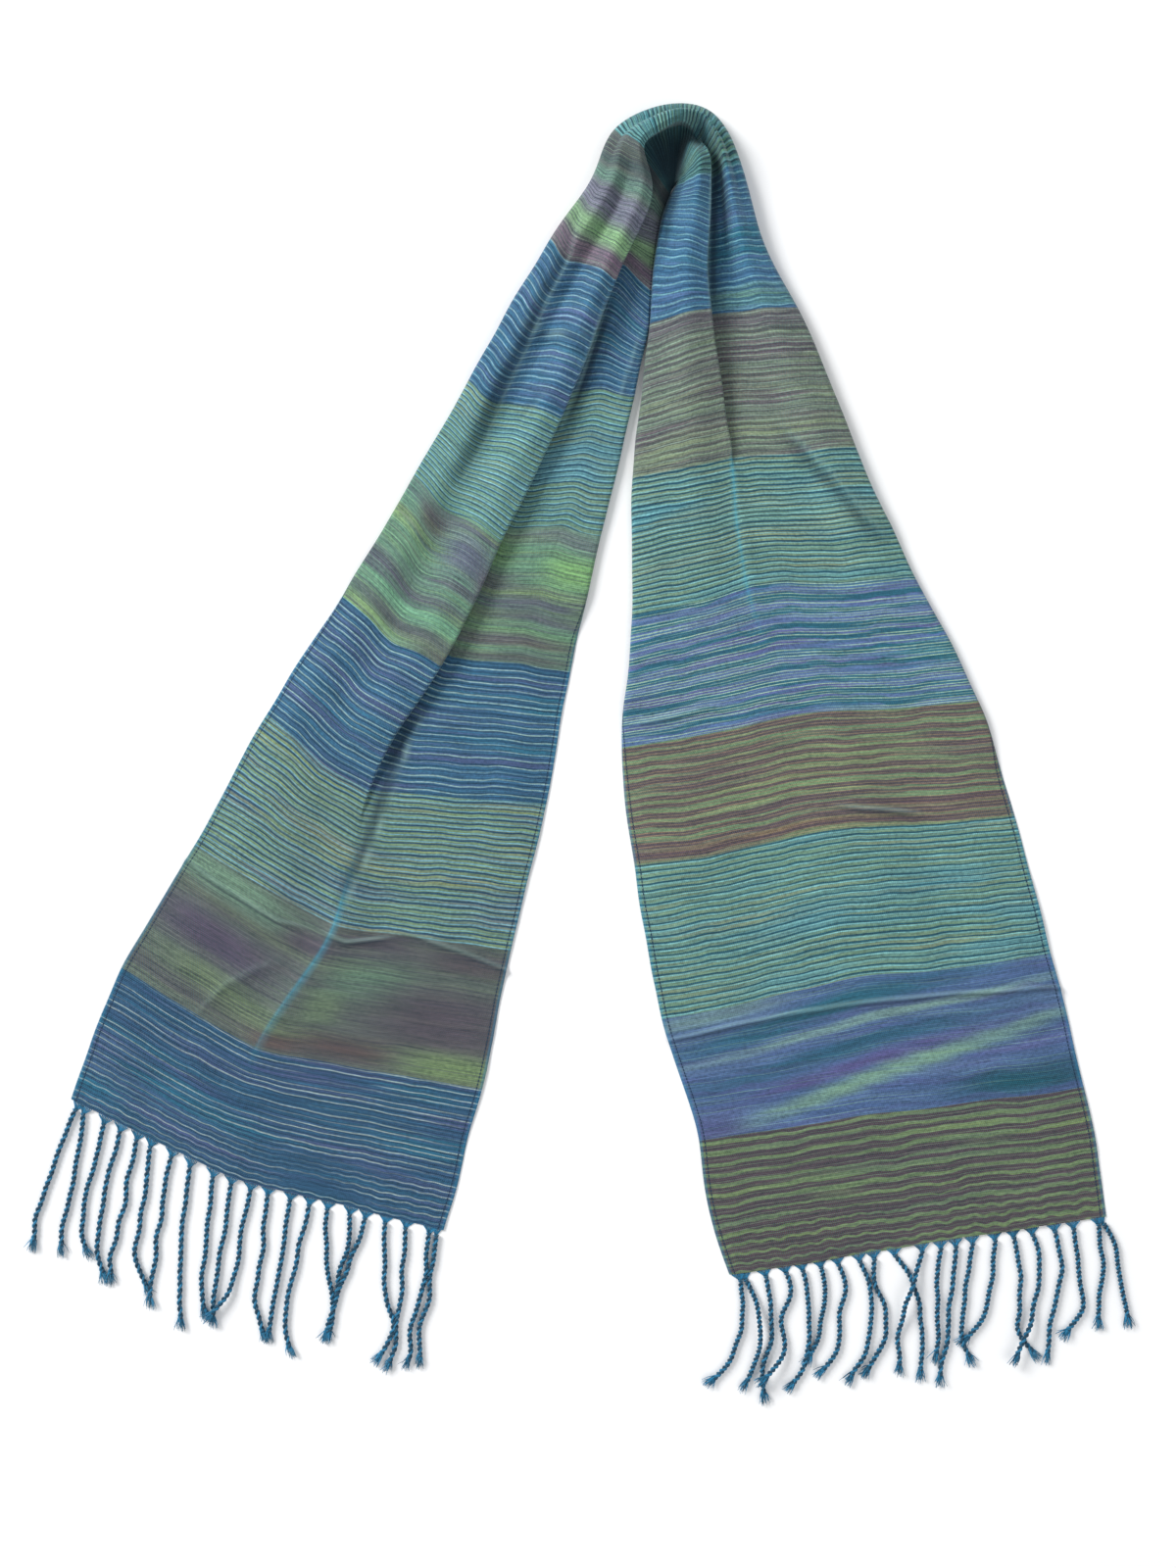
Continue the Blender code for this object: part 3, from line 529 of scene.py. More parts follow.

# Space-dyed areas, and one near-black area of painted shade in the hollow of the bend: where along in bands
# and across as a share, how far they reach, their colour, how strong they are, and how they slant over the
# width in bands, where they do.
PATCH_COLUMNS = ("along", "across", "reach_along", "reach_across", "colour", "strength", "slant")
PATCHES = (
    (1.90, 0.12, 0.11, 0.28, "7c9e80", 0.85, -0.10),
    (1.52, 0.18, 0.14, 0.20, "5b4460", 0.85, -0.10),
    (1.80, 0.43, 0.09, 0.09, "5a4452", 0.85),
    (1.22, 0.30, 0.09, 0.22, "788b60", 0.80, -0.15),
    (1.08, 0.44, 0.06, 0.07, "6c463a", 0.75),
    (1.62, 0.62, 0.13, 0.12, "6c9070", 0.80),
    (1.40, 0.53, 0.12, 0.05, "768c62", 0.70),
    (1.93, 0.62, 0.07, 0.12, "574450", 0.85),
    (1.86, 0.90, 0.09, 0.14, "5a484c", 0.85),
    (1.42, 0.86, 0.24, 0.22, "5b4a51", 0.95),
    (1.12, 0.62, 0.09, 0.14, "60433f", 0.85),
    (1.09, 0.92, 0.11, 0.14, "80985e", 0.90),
    (4.90, 0.08, 0.10, 0.10, "6f9a86", 0.70),
    (4.86, 0.20, 0.09, 0.06, "67504f", 0.80),
    (4.75, 0.34, 0.16, 0.09, "6a6482", 0.85),
    (4.62, 0.44, 0.14, 0.05, "73586e", 0.80),
    (4.36, 0.20, 0.045, 0.28, "5a4560", 0.85),
    (4.24, 0.25, 0.040, 0.30, "82bd92", 0.80),
    (4.12, 0.25, 0.050, 0.28, "5c4858", 0.80),
    (4.03, 0.45, 0.035, 0.20, "6c4a56", 0.80),
    (4.80, 0.66, 0.12, 0.08, "84b06a", 0.85),
    (4.70, 0.93, 0.12, 0.09, "8cc072", 0.90),
    (4.94, 0.86, 0.06, 0.16, "7c7d86", 0.70),
    (4.58, 0.68, 0.08, 0.10, "6a5a62", 0.75),
    (4.36, 0.80, 0.045, 0.22, "5c4a64", 0.85),
    (4.26, 0.80, 0.035, 0.22, "7fae78", 0.70),
    (4.17, 0.82, 0.040, 0.22, "6c474a", 0.80),
    (4.04, 0.82, 0.045, 0.22, "5c4852", 0.85),
    (7.09, 0.45, 0.11, 0.90, "8a6480", 0.90),
    (7.28, 0.45, 0.10, 0.90, "9ccc8a", 0.90),
    (7.50, 0.45, 0.13, 0.90, "8a849c", 0.85),
    (7.68, 0.45, 0.06, 0.90, "6f9c84", 0.80),
    (7.87, 0.45, 0.13, 0.90, "4a3f3f", 0.90),
    (7.80, 0.45, 0.03, 0.90, "4c6a5a", 0.70),
    (8.12, 0.35, 0.08, 0.32, "82c6c8", 0.60),
    (8.47, 0.35, 0.05, 0.32, "245450", 0.75),
    (8.62, 0.35, 0.07, 0.32, "8fb49a", 0.60),
    (8.90, 0.35, 0.06, 0.32, "6f9c66", 0.60),
    # Painted shade: the hollow inside the bend, near black.
    (8.35, 0.97, 0.38, 0.38, "0c191c", 0.98),
    (9.90, 0.20, 0.06, 0.30, "7db086", 0.80),
    (10.06, 0.50, 0.06, 0.80, "6d5a6a", 0.80),
    (13.50, 0.55, 0.030, 0.40, "9c9a64", 0.60),
    (13.82, 0.20, 0.040, 0.30, "7a4348", 0.70),
    (13.93, 0.62, 0.045, 0.45, "8d6048", 0.75),
    (15.05, 0.88, 0.055, 0.20, "86a894", 0.70, 0.10),
    (15.15, 0.57, 0.075, 0.45, "1f6373", 0.90, 0.37),
    (15.27, 0.45, 0.034, 0.60, "93b8a0", 0.70, 0.26),
    (15.46, 0.55, 0.070, 0.50, "235a70", 0.85, 0.34),
    (15.60, 0.53, 0.050, 0.40, "65508e", 0.80, 0.45),
    (15.66, 0.42, 0.060, 0.50, "8fb890", 0.85, 0.58),
    (15.64, 0.15, 0.040, 0.20, "6f68a4", 0.60, 0.40),
    (15.92, 0.96, 0.10, 0.09, "594a88", 0.85),
    (15.87, 0.13, 0.12, 0.22, "0f4c5a", 0.98, 0.15),
)
# How far an area calms the streaks and the thin lines in it, and how firm its edges are.
PATCH_CALM, PATCH_CALM_LINES, PATCH_EDGE_ALONG, PATCH_EDGE_ACROSS = 0.75, 0.5, 4, 3

# Where the colour lines bow along the cloth: where along in bands and across as a share, how far that
# reaches, and by how many bands they shift.
BOW_COLUMNS = ("along", "across", "reach_along", "reach_across", "shift")
BOWS = (
    (6.30, 0.20, 1.30, 0.07, -0.09),
    (4.50, 0.22, 0.80, 0.07, -0.06),
    (5.50, 0.72, 1.20, 0.04, -0.04),
    (5.50, 0.85, 1.50, 0.04, 0.03),
    (3.20, 0.25, 0.80, 0.12, -0.05),
    (9.05, 0.55, 0.25, 1.20, 0.11),
    (12.00, 0.50, 0.80, 0.14, -0.045),
    (13.50, 0.47, 0.90, 0.13, -0.035),
    (13.50, 0.80, 0.90, 0.10, 0.020),
    (15.00, 0.50, 0.80, 0.15, -0.020),
)
# How far a section's plan line is rounded to each side of its bend, along the cloth.
ROUNDING = ((0, 34), (1, 30), (2, 24), (2.5, 14), (2.75, 0), (13.7, 0), (14.3, 24), (17, 24))
ROUNDING_TAPS = 4


def band_values(rows, across):
    """The cloth's colours and stripe figures at each row and column, as arrays by name."""
    shape = across.shape
    found = {name: np.zeros((*shape, 3)) for name in BAND_COLOURS}
    kept = [name for name in BAND_FIGURES if not name.endswith("_repeat")] + ["stripe_count", "line_count"]
    figures = {name: np.zeros(shape) for name in kept}
    counts = {"stripe": 0.0, "line": 0.0}
    before = rows[0]
    for i, at in enumerate(rows):
        row = dict(zip(BAND_COLOURS + BAND_FIGURES, BAND_TABLE[min(int(at), BANDS - 1)]))
        for name in counts:
            counts[name] += (at - before) * BAND_LENGTH / row[name + "_repeat"]
            figures[name + "_count"][i] = counts[name]
        before = at
        for name in found:
            found[name][i] = dye(row[name])
        for name in kept[:-2]:
            figures[name][i] = row[name]
    places = np.array(rows)[:, None]
    whole = np.floor(places)
    for row in PATCHES:
        patch = {"slant": 0.0, **dict(zip(PATCH_COLUMNS, row))}
        middle = patch["along"] + patch["slant"] * (across - patch["across"])
        near = np.exp(-np.abs((places - middle) / patch["reach_along"]) ** PATCH_EDGE_ALONG
                      - np.abs((across - patch["across"]) / patch["reach_across"]) ** PATCH_EDGE_ACROSS)
        weight = near * patch["strength"] * (whole == math.floor(patch["along"]))
        share = weight[:, :, None]
        found["ground"] = found["ground"] * (1 - share) + np.array(dye(patch["colour"])) * share
        figures["streaks"] = figures["streaks"] * (1 - PATCH_CALM * weight)
        figures["line_strength"] = figures["line_strength"] * (1 - PATCH_CALM_LINES * weight)
    return found, figures


def new_object(name, mesh):
    """An object for a mesh or curve, linked to the scene."""
    made = bpy.data.objects.new(name, mesh)
    bpy.context.scene.collection.objects.link(made)
    return made


def only(*pieces):
    """Selects these pieces alone, the first as the active one."""
    bpy.ops.object.select_all(action="DESELECT")
    for piece in pieces:
        piece.select_set(True)
    bpy.context.view_layer.objects.active = pieces[0]


def apply_modifiers(piece):
    """Applies all of a piece's modifiers."""
    only(piece)
    for modifier in list(piece.modifiers):
        bpy.ops.object.modifier_apply(modifier=modifier.name)


# Soft unevenness of the laid cloth: the scale of each kind's noise, the noise's own layer, how much of it
# is raised, and how far it lifts or sways the cloth in millimetres.
WAVE_SCALE, WAVE_LAYER, WAVE_RAISED, WAVE_RISE = 0.011, 3.7, 0.15, 1.6
RIPPLE_ACROSS, RIPPLE_ALONG, RIPPLE_LAYER, RIPPLE_RAISED, RIPPLE_RISE = 9.0, 0.8, 8.1, 0.1, 1.5
CRUMPLE_SCALE, CRUMPLE_LAYER, CRUMPLE_RAISED, CRUMPLE_RISE = 0.055, 1.3, 0.2, 0.45
SWAY_SCALE, SWAY_LAYERS, SWAY = 0.022, (5.9, 2.4), 1.6
# The least height of the cloth's middle, as a share of its thickness, which keeps it clear of the floor.
LEAST_HEIGHT = 0.55
# The angle in degrees from which an edge of the cloth stays sharp, as its selvedges' and hems' do.
SHARP_ANGLE = 60

# How strongly the turquoise warp shows on the two long crests, along the cloth, and how wide.
CREST_SHOWN = (
    (0.80, 0.0), (1.10, 0.35), (1.60, 0.60), (2.15, 0.65), (2.60, 0.0),
    (10.75, 0.0), (10.95, 0.55), (12.10, 0.35), (12.45, 0.0),
)
CREST_WIDE = 1.3


def crest_shown(rows, reach):
    """How much of the warp shows where the outer part turns into the inner part."""
    middle = TURN_STEPS + OUTER_STEPS + 1 + LAP_STEPS // 2
    away = (reach - reach[:, middle: middle + 1]) / CREST_WIDE
    return np.interp(rows, *zip(*CREST_SHOWN))[:, None] * np.exp(-away ** 2)


def soft_noise(first, second, layer):
    """Smooth noise about 0 at each pair of the two arrays' values."""
    pairs = zip(first, second)
    return np.array([[noise.noise(Vector((a, b, layer))) for a, b in zip(*rows)] for rows in pairs])


def raised(noise_values, share, height):
    """The rise of noise up to a height. It stays flat where the noise and the share sum to less than 0."""
    return height * np.clip(noise_values + share, 0, None)


def rounded(points, reach):
    """A section whose plan line bends gently, over the reach to each side."""
    if reach <= 0:
        return points
    run = np.concatenate([[0], np.cumsum(np.linalg.norm(np.diff(points[:, :2], axis=0), axis=1))])
    run += np.arange(len(run)) * TINY
    start = (points[3, :2] - points[0, :2]) / (run[3] - run[0])
    end = (points[-1, :2] - points[-4, :2]) / (run[-1] - run[-4])
    total, weights = np.zeros((len(points), 2)), 0.0
    for i in range(-ROUNDING_TAPS, ROUNDING_TAPS + 1):
        weight = 1 - abs(i) / (ROUNDING_TAPS + 1)
        at = run + reach * i / ROUNDING_TAPS
        before, after = np.minimum(at, 0)[:, None], np.maximum(at - run[-1], 0)[:, None]
        place = np.column_stack([np.interp(at, run, points[:, k]) for k in range(2)])
        total += weight * (place + before * start + after * end)
        weights += weight
    return np.column_stack([total / weights, points[:, 2]])


def bowed(grid, rows, across):
    """The same surface with its rows shifted along it where the colour lines bow."""
    places = np.array(rows)
    lengthwise = np.repeat(places[:, None], across.shape[1], axis=1)
    shift = np.zeros_like(across)
    for row in BOWS:
        bow = dict(zip(BOW_COLUMNS, row))
        shift += bow["shift"] * np.exp(-((lengthwise - bow["along"]) / bow["reach_along"]) ** 2
                                       - ((across - bow["across"]) / bow["reach_across"]) ** 2)
    shift *= np.clip(np.minimum(lengthwise, BANDS - lengthwise), 0, 1)
    made = np.empty_like(grid)
    for j in range(across.shape[1]):
        for k in range(3):
            made[:, j, k] = np.interp(places + shift[:, j], places, grid[:, j, k])
    return made


def across_reach(grid):
    """How far across the cloth each point lies from its outer edge, in millimetres."""
    steps = np.linalg.norm(np.diff(grid, axis=1), axis=2)
    return np.concatenate([np.zeros((len(grid), 1)), np.cumsum(steps, axis=1)], axis=1)


def laid_surface(rows):
    """The cloth's middle surface before its creases, with how far across it each point lies."""
    grid = np.array([rounded(section(band), np.interp(band, *zip(*ROUNDING))) for band in rows])
    reach = across_reach(grid)
    grid = bowed(grid, rows, reach / reach[:, -1:])
    return grid, across_reach(grid)


def creased_surface(grid, across, lengthwise):
    """The surface with its creases and unevenness, and the figures for its finish: the warp that creases
    show, their painted shade and painted highlight, and the painted shade in the bend.
    """
    x, y, z = grid[:, :, 0], grid[:, :, 1], grid[:, :, 2]
    wave = soft_noise(x * WAVE_SCALE, y * WAVE_SCALE, WAVE_LAYER)
    ripple = soft_noise(across * RIPPLE_ACROSS, lengthwise * RIPPLE_ALONG, RIPPLE_LAYER)
    crumple = soft_noise(x * CRUMPLE_SCALE, y * CRUMPLE_SCALE, CRUMPLE_LAYER)
    rise, shown, dark, pale = crease_rise(x, y)
    z = z + CLOTH_THICK / 2 + rise + raised(wave, WAVE_RAISED, WAVE_RISE)
    z = z + raised(ripple, RIPPLE_RAISED, RIPPLE_RISE) + raised(crumple, CRUMPLE_RAISED, CRUMPLE_RISE)
    x = x + SWAY * soft_noise(x * SWAY_SCALE, y * SWAY_SCALE, SWAY_LAYERS[0])
    y = y + SWAY * soft_noise(x * SWAY_SCALE, y * SWAY_SCALE, SWAY_LAYERS[1])
    z = np.maximum(z, CLOTH_THICK * LEAST_HEIGHT)
    figures = {"warp_show": shown, "painted_fold_shade": dark + dimmed(x, y, z), "painted_fold_highlight": pale}
    return np.stack([x, y, z], axis=2), figures


def make_cloth():
    """The whole cloth as one thin sheet, with its colours, its figures and its weave map."""
    rows = row_places()
    grid, reach = laid_surface(rows)
    across = reach / reach[:, -1:]
    lengthwise = np.repeat(np.array(rows)[:, None], across.shape[1], axis=1)
    grid, crease_figures = creased_surface(grid, across, lengthwise)
    colours, figures = band_values(rows, across)
    figures.update(crease_figures)
    figures["warp_show"] = np.minimum(figures["warp_show"] + crest_shown(rows, reach), 1)

    count, columns = across.shape
    mesh = bpy.data.meshes.new("scarf_cloth")
    faces = [(i * columns + j, i * columns + j + 1, (i + 1) * columns + j + 1, (i + 1) * columns + j)
             for i in range(count - 1) for j in range(columns - 1)]
    mesh.from_pydata([tuple(p * MM) for p in grid.reshape(-1, 3)], [], faces)
    for name, values in colours.items():
        layer = mesh.color_attributes.new(name, "FLOAT_COLOR", "POINT")
        flat = np.concatenate([values.reshape(-1, 3), np.ones((count * columns, 1))], axis=1)
        layer.data.foreach_set("color", flat.astype(np.float32).ravel())
    for name, values in figures.items():
        layer = mesh.attributes.new(name, "FLOAT", "POINT")
        layer.data.foreach_set("value", values.astype(np.float32).ravel())
    weave = mesh.uv_layers.new(name="weave")
    spots = np.stack([across * CLOTH_WIDTH, lengthwise * BAND_LENGTH], axis=2).reshape(-1, 2) * MM
    corners = np.zeros(len(mesh.loops), np.int32)
    mesh.loops.foreach_get("vertex_index", corners)
    weave.data.foreach_set("uv", spots[corners].astype(np.float32).ravel())
    mesh.update()
    cloth = new_object("scarf_cloth", mesh)
    wall = cloth.modifiers.new("wall", "SOLIDIFY")
    wall.thickness = CLOTH_THICK * MM
    wall.offset = 0
    apply_modifiers(cloth)
    cloth.data.shade_smooth()
    cloth.data.set_sharp_from_angle(angle=math.radians(SHARP_ANGLE))
    return cloth


class Finish:
    """A material whose nodes are added one by one."""

    def __init__(self, name):
        self.material = bpy.data.materials.new(name)
        self.material.use_nodes = True
        self.tree = self.material.node_tree
        self.shader = self.tree.nodes["Principled BSDF"]

    def put(self, socket, value):
        """Links a socket to another one, or sets it to a plain value."""
        if isinstance(value, bpy.types.NodeSocket):
            self.tree.links.new(value, socket)
        else:
            socket.default_value = value

    def surface(self, values):
        """Sets the shader's sockets, by their names."""
        for name, value in values.items():
            self.put(self.shader.inputs[name], value)

    def maths(self, operation, *values, clamp=False):
        """One sum of the finish, kept within 0 and 1 where it is clamped."""
        node = self.tree.nodes.new("ShaderNodeMath")
        node.operation = operation
        node.use_clamp = clamp
        for socket, value in zip(node.inputs, values):
            self.put(socket, value)
        return node.outputs[0]

    def plus(self, first, second, clamp=False):
        return self.maths("ADD", first, second, clamp=clamp)

    def minus(self, first, second):
        return self.maths("SUBTRACT", first, second)

    def times(self, first, second, clamp=False):
        return self.maths("MULTIPLY", first, second, clamp=clamp)

    def above(self, value, start, steep):
        """0 where a value is under its start, and up to 1 above it, the steeper the sooner."""
        return self.times(self.minus(value, start), steep, clamp=True)

    def mix(self, share, first, second, blend="MIX"):
        """A share of the second colour over the first."""
        node = self.tree.nodes.new("ShaderNodeMix")
        node.data_type = "RGBA"
        node.blend_type = blend
        self.put(node.inputs[0], share)
        self.put(node.inputs[6], first)
        self.put(node.inputs[7], second)
        return node.outputs[2]

    def attribute(self, name, output):
        node = self.tree.nodes.new("ShaderNodeAttribute")
        node.attribute_name = name
        return node.outputs[output]

    def colour(self, name):
        """One of the mesh's own colours."""
        return self.attribute(name, "Color")

    def figure(self, name):
        """One of the mesh's own figures."""
        return self.attribute(name, "Fac")

    def point(self, x, y, z):
        """A place made of three values."""
        node = self.tree.nodes.new("ShaderNodeCombineXYZ")
        for socket, value in zip(node.inputs, (x, y, z)):
            self.put(socket, value)
        return node.outputs[0]

    def weave_place(self):
        """The distances across and along the cloth, in metres."""
        weave = self.tree.nodes.new("ShaderNodeUVMap")
        weave.uv_map = "weave"
        split = self.tree.nodes.new("ShaderNodeSeparateXYZ")
        self.put(split.inputs[0], weave.outputs[0])
        return split.outputs[0], split.outputs[1]

    def noise(self, place, scale=1.0, detail=1.0, roughness=0.5):
        """Soft noise about a half at a place."""
        node = self.tree.nodes.new("ShaderNodeTexNoise")
        node.noise_dimensions = "3D"
        self.put(node.inputs["Vector"], place)
        node.inputs["Scale"].default_value = scale
        node.inputs["Detail"].default_value = detail
        node.inputs["Roughness"].default_value = roughness
        return node.outputs["Fac"]

    def draw(self, number):
        """A random value between 0 and 1 for each whole number, the same on every run."""
        node = self.tree.nodes.new("ShaderNodeTexWhiteNoise")
        node.noise_dimensions = "1D"
        self.put(node.inputs["W"], number)
        return node.outputs[0]

    def bump(self, height, strength, distance):
        """Gives the surface the relief of a height."""
        node = self.tree.nodes.new("ShaderNodeBump")
        self.put(node.inputs["Height"], height)
        node.inputs["Strength"].default_value = strength
        node.inputs["Distance"].default_value = distance
        self.put(self.shader.inputs["Normal"], node.outputs[0])


def paint(code):
    """A colour of six hex digits for a finish."""
    return (*dye(code), 1)


# The weave, in metres: a pick, an end, the selvedge's margin, its stitched line and the stitches' length.
PICK, END = 0.0014, 0.0016
MARGIN_WIDE, SEAM_AT, SEAM_HALF, STITCH = 0.0026, 0.0042, 0.0007, 0.0028
# How far the lines wander, in metres, and how closely across and along the cloth. Then the height, the
# length and the reach in from the hem of their scallops, where the strands pull.
WANDER, WANDER_ACROSS, WANDER_ALONG = 0.0034, 34.0, 20.0
SCALLOP_HIGH, SCALLOP_LENGTH, SCALLOP_REACH = 0.00045, 0.0145, 0.06
# How far the dyed zones' ends are feathered from pick to pick.
FEATHER = 0.045
# Dyed zones, and single picks with a shade of their own: how closely they lie across and along, the layer
# of their noise, from which value of it they show, and their shade.
ZONES = ((7.0, 75.0, 1.5, 0.50, "streak"), (6.0, 50.0, 9.5, 0.54, "tint"))
OWN_PICKS = ((9.0, 5.1, 12.0, 0.50, "streak"), (7.0, 4.3, 21.0, 0.54, "tint"))
ZONE_STEEP, PICK_STEEP, PICK_SHARE = 7.0, 5.0, 0.65
# The wider stripe and the thin line: their seed, how far they wander, how seldom they show and how much
# the band's own presence eases that, how steeply they come and go, where they start and how soft they are.
STRIPE_COLUMNS = ("name", "colour", "seed", "sway", "seldom", "eased", "steep", "start", "soft")
STRIPES = (
    ("stripe", "second", 4.0, 260.0, 0.52, 0.45, 4.0, 0.22, 0.07),
    ("line", "line", 0.0, 210.0, 0.78, 0.62, 5.0, 0.56, 0.08),
)


def drift_of(f, x, y):
    """How far the lines wander and scallop at a place, in metres."""
    wander = f.noise(f.point(f.times(x, WANDER_ACROSS), f.times(y, WANDER_ALONG), 0.0))
    wander = f.times(f.minus(wander, 0.5), WANDER)
    from_hem = f.maths("MINIMUM", y, f.minus(BANDS * BAND_LENGTH * MM, y))
    pull = f.maths("SUBTRACT", 1.0, f.maths("DIVIDE", from_hem, SCALLOP_REACH), clamp=True)
    scallop = f.times(f.maths("COSINE", f.times(x, 2 * math.pi / SCALLOP_LENGTH)), pull)
    return f.plus(wander, f.times(scallop, SCALLOP_HIGH))


def dyed(f, x, y, drift, pick_number):
    """The main weft with its dyed zones, wide across and a few picks high, and its picks' own shades."""
    colour = f.colour("ground")
    streaks = f.figure("streaks")
    far_x = f.plus(x, f.times(f.draw(pick_number), FEATHER))
    slanted = f.plus(y, f.times(drift, 0.5))
    for scale_x, scale_y, layer, start, shade in ZONES:
        zone = f.noise(f.point(f.times(far_x, scale_x), f.times(slanted, scale_y), layer), detail=1.5)
        colour = f.mix(f.times(f.above(zone, start, ZONE_STEEP), streaks), colour, f.colour(shade))
    share = f.times(streaks, PICK_SHARE, clamp=True)
    for scale_x, scale_y, layer, start, shade in OWN_PICKS:
        own = f.noise(f.point(f.times(x, scale_x), f.times(pick_number, scale_y), layer))
        colour = f.mix(f.times(f.above(own, start, PICK_STEEP), share), colour, f.colour(shade))
    return colour


def stripe(f, x, drift, kind):
    """How much of a kind of stripe lies at a place. Each repeat has its own life, width and start."""
    count = f.plus(f.figure(kind["name"] + "_count"), f.times(drift, kind["sway"]))
    whole = f.maths("FLOOR", count)
    life = f.noise(f.point(f.times(x, 8.0), f.times(whole, 7.31), kind["seed"]))
    width = f.noise(f.point(whole, kind["seed"], f.times(x, 2.0)), 3.7, 0.0)
    width = f.plus(f.times(width, 1.3), 0.35)
    aside = f.minus(f.noise(f.point(f.times(whole, 3.3), kind["seed"], 1.5), 2.9, 0.0), 0.5)
    aside = f.times(f.times(aside, 0.9), f.figure("uneven"))
    half = f.times(f.times(f.figure(kind["name"] + "_share"), width), 0.5)
    middle = f.plus(f.plus(aside, kind["start"]), half)
    off = f.maths("ABSOLUTE", f.minus(f.maths("FRACT", count), middle))
    inside = f.plus(f.maths("DIVIDE", f.minus(half, off), kind["soft"]), 0.5, clamp=True)
    seldom = f.minus(kind["seldom"], f.times(f.figure("presence"), kind["eased"]))
    shown = f.above(life, seldom, kind["steep"])
    return f.times(inside, f.times(shown, f.figure(kind["name"] + "_strength")))


def edged(f, colour, x, y):
    """The colour with the selvedges' turquoise margin, and the dark stitched line inside it."""
    edge = f.maths("MINIMUM", x, f.minus(CLOTH_WIDTH * MM, x))
    margin = f.times(f.minus(MARGIN_WIDE, edge), 900.0, clamp=True)
    colour = f.mix(f.times(margin, 0.28), colour, paint("2a86ac"))
    seam = f.minus(SEAM_HALF, f.maths("ABSOLUTE", f.minus(edge, SEAM_AT)))
    seam = f.times(seam, 3000.0, clamp=True)
    stitches = f.plus(f.times(f.maths("SINE", f.times(y, 2 * math.pi / STITCH)), 0.35), 0.7)
    return f.mix(f.times(seam, stitches), colour, paint("10263f"))


def woven_finish():
    """Striped, space-dyed cloth with its weave."""
    f = Finish("woven_scarf_cloth")
    x, y = f.weave_place()
    drift = drift_of(f, x, y)
    pick_number = f.maths("FLOOR", f.maths("DIVIDE", y, PICK))
    colour = dyed(f, x, y, drift, pick_number)
    for row in STRIPES:
        kind = dict(zip(STRIPE_COLUMNS, row))
        line = stripe(f, x, drift, kind)
        colour = f.mix(line, colour, f.colour(kind["colour"]))

    # Single picks differ a little, with painted shade in the gaps between them, and the turquoise warp shows
    # through.
    pick = f.noise(f.point(f.times(x, 26.0), f.times(pick_number, 3.7), 7.0), 1.0, 2.0, 0.6)
    crepe = f.noise(f.point(f.times(x, 320.0), f.times(y, 520.0), 2.0), 1.0, 3.0, 0.65)
    shade = f.minus(f.plus(f.times(pick, 1.1), f.times(crepe, 1.3)), 0.42)
    colour = f.mix(1.0, colour, f.point(shade, shade, shade), "MULTIPLY")
    ends = f.maths("SINE", f.times(x, 2 * math.pi / END))
    over = f.times(ends, f.maths("SINE", f.times(y, math.pi / PICK)))
    # The gaps between picks get painted shade.
    painted_gap_shade = f.maths("COSINE", f.times(y, 2 * math.pi / PICK))
    painted_gap_shade = f.times(f.plus(painted_gap_shade, f.times(over, 0.6)), 0.42, clamp=True)
    colour = f.mix(f.times(painted_gap_shade, 0.6), colour, paint("123047"))
    crest = f.times(f.figure("warp_show"), f.plus(f.times(pick, 0.9), 0.2))
    warp = f.plus(f.times(f.above(over, 0.35, 1.5), 0.35), crest, clamp=True)
    colour = f.mix(warp, colour, paint("2f9cb8"))

    # Painted shade beside creases, in slits and low in the bend, and a painted highlight on the creases'
    # other side.
    colour = f.mix(f.times(f.figure("painted_fold_shade"), 0.75, clamp=True), colour, paint("0e2230"))
    colour = f.mix(f.times(f.figure("painted_fold_highlight"), 0.24, clamp=True), colour, paint("a9cfc4"))
    f.surface({
        "Base Color": edged(f, colour, x, y), "Roughness": 0.78, "Specular IOR Level": 0.25,
        "Sheen Weight": 0.25, "Sheen Roughness": 0.5, "Sheen Tint": (0.75, 0.95, 1.0, 1),
    })
    relief = f.plus(f.plus(f.times(over, 0.35), f.times(line, 0.3)), f.times(crepe, 2.2))
    f.bump(relief, 0.55, 0.0005)
    return f.material


def yarn_finish():
    """Twisted turquoise fringe yarn, with painted highlights where the light catches its hairs."""
    f = Finish("fringe_yarn")
    place = f.tree.nodes.new("ShaderNodeTexCoord").outputs["Object"]
    mottle = f.times(f.minus(f.noise(place, 420.0, 3.0, 0.6), 0.5), 1.3)
    tone = f.plus(f.figure("tone"), mottle, clamp=True)
    colour = f.mix(tone, paint("0c3248"), paint("268ab8"))
    # Painted highlight where the light catches the hairs; the same hairs give the bump.
    hairs_and_glint = f.above(f.noise(place, 1400.0, 2.0, 0.6), 0.62, 5.0)
    colour = f.mix(f.times(hairs_and_glint, 0.6), colour, paint("66c3dd"))
    f.surface({
        "Base Color": colour, "Roughness": 0.6, "Specular IOR Level": 0.35,
        "Sheen Weight": 0.3, "Sheen Tint": (0.6, 0.9, 1.0, 1),
    })
    f.bump(hairs_and_glint, 0.3, 0.0004)
    return f.material


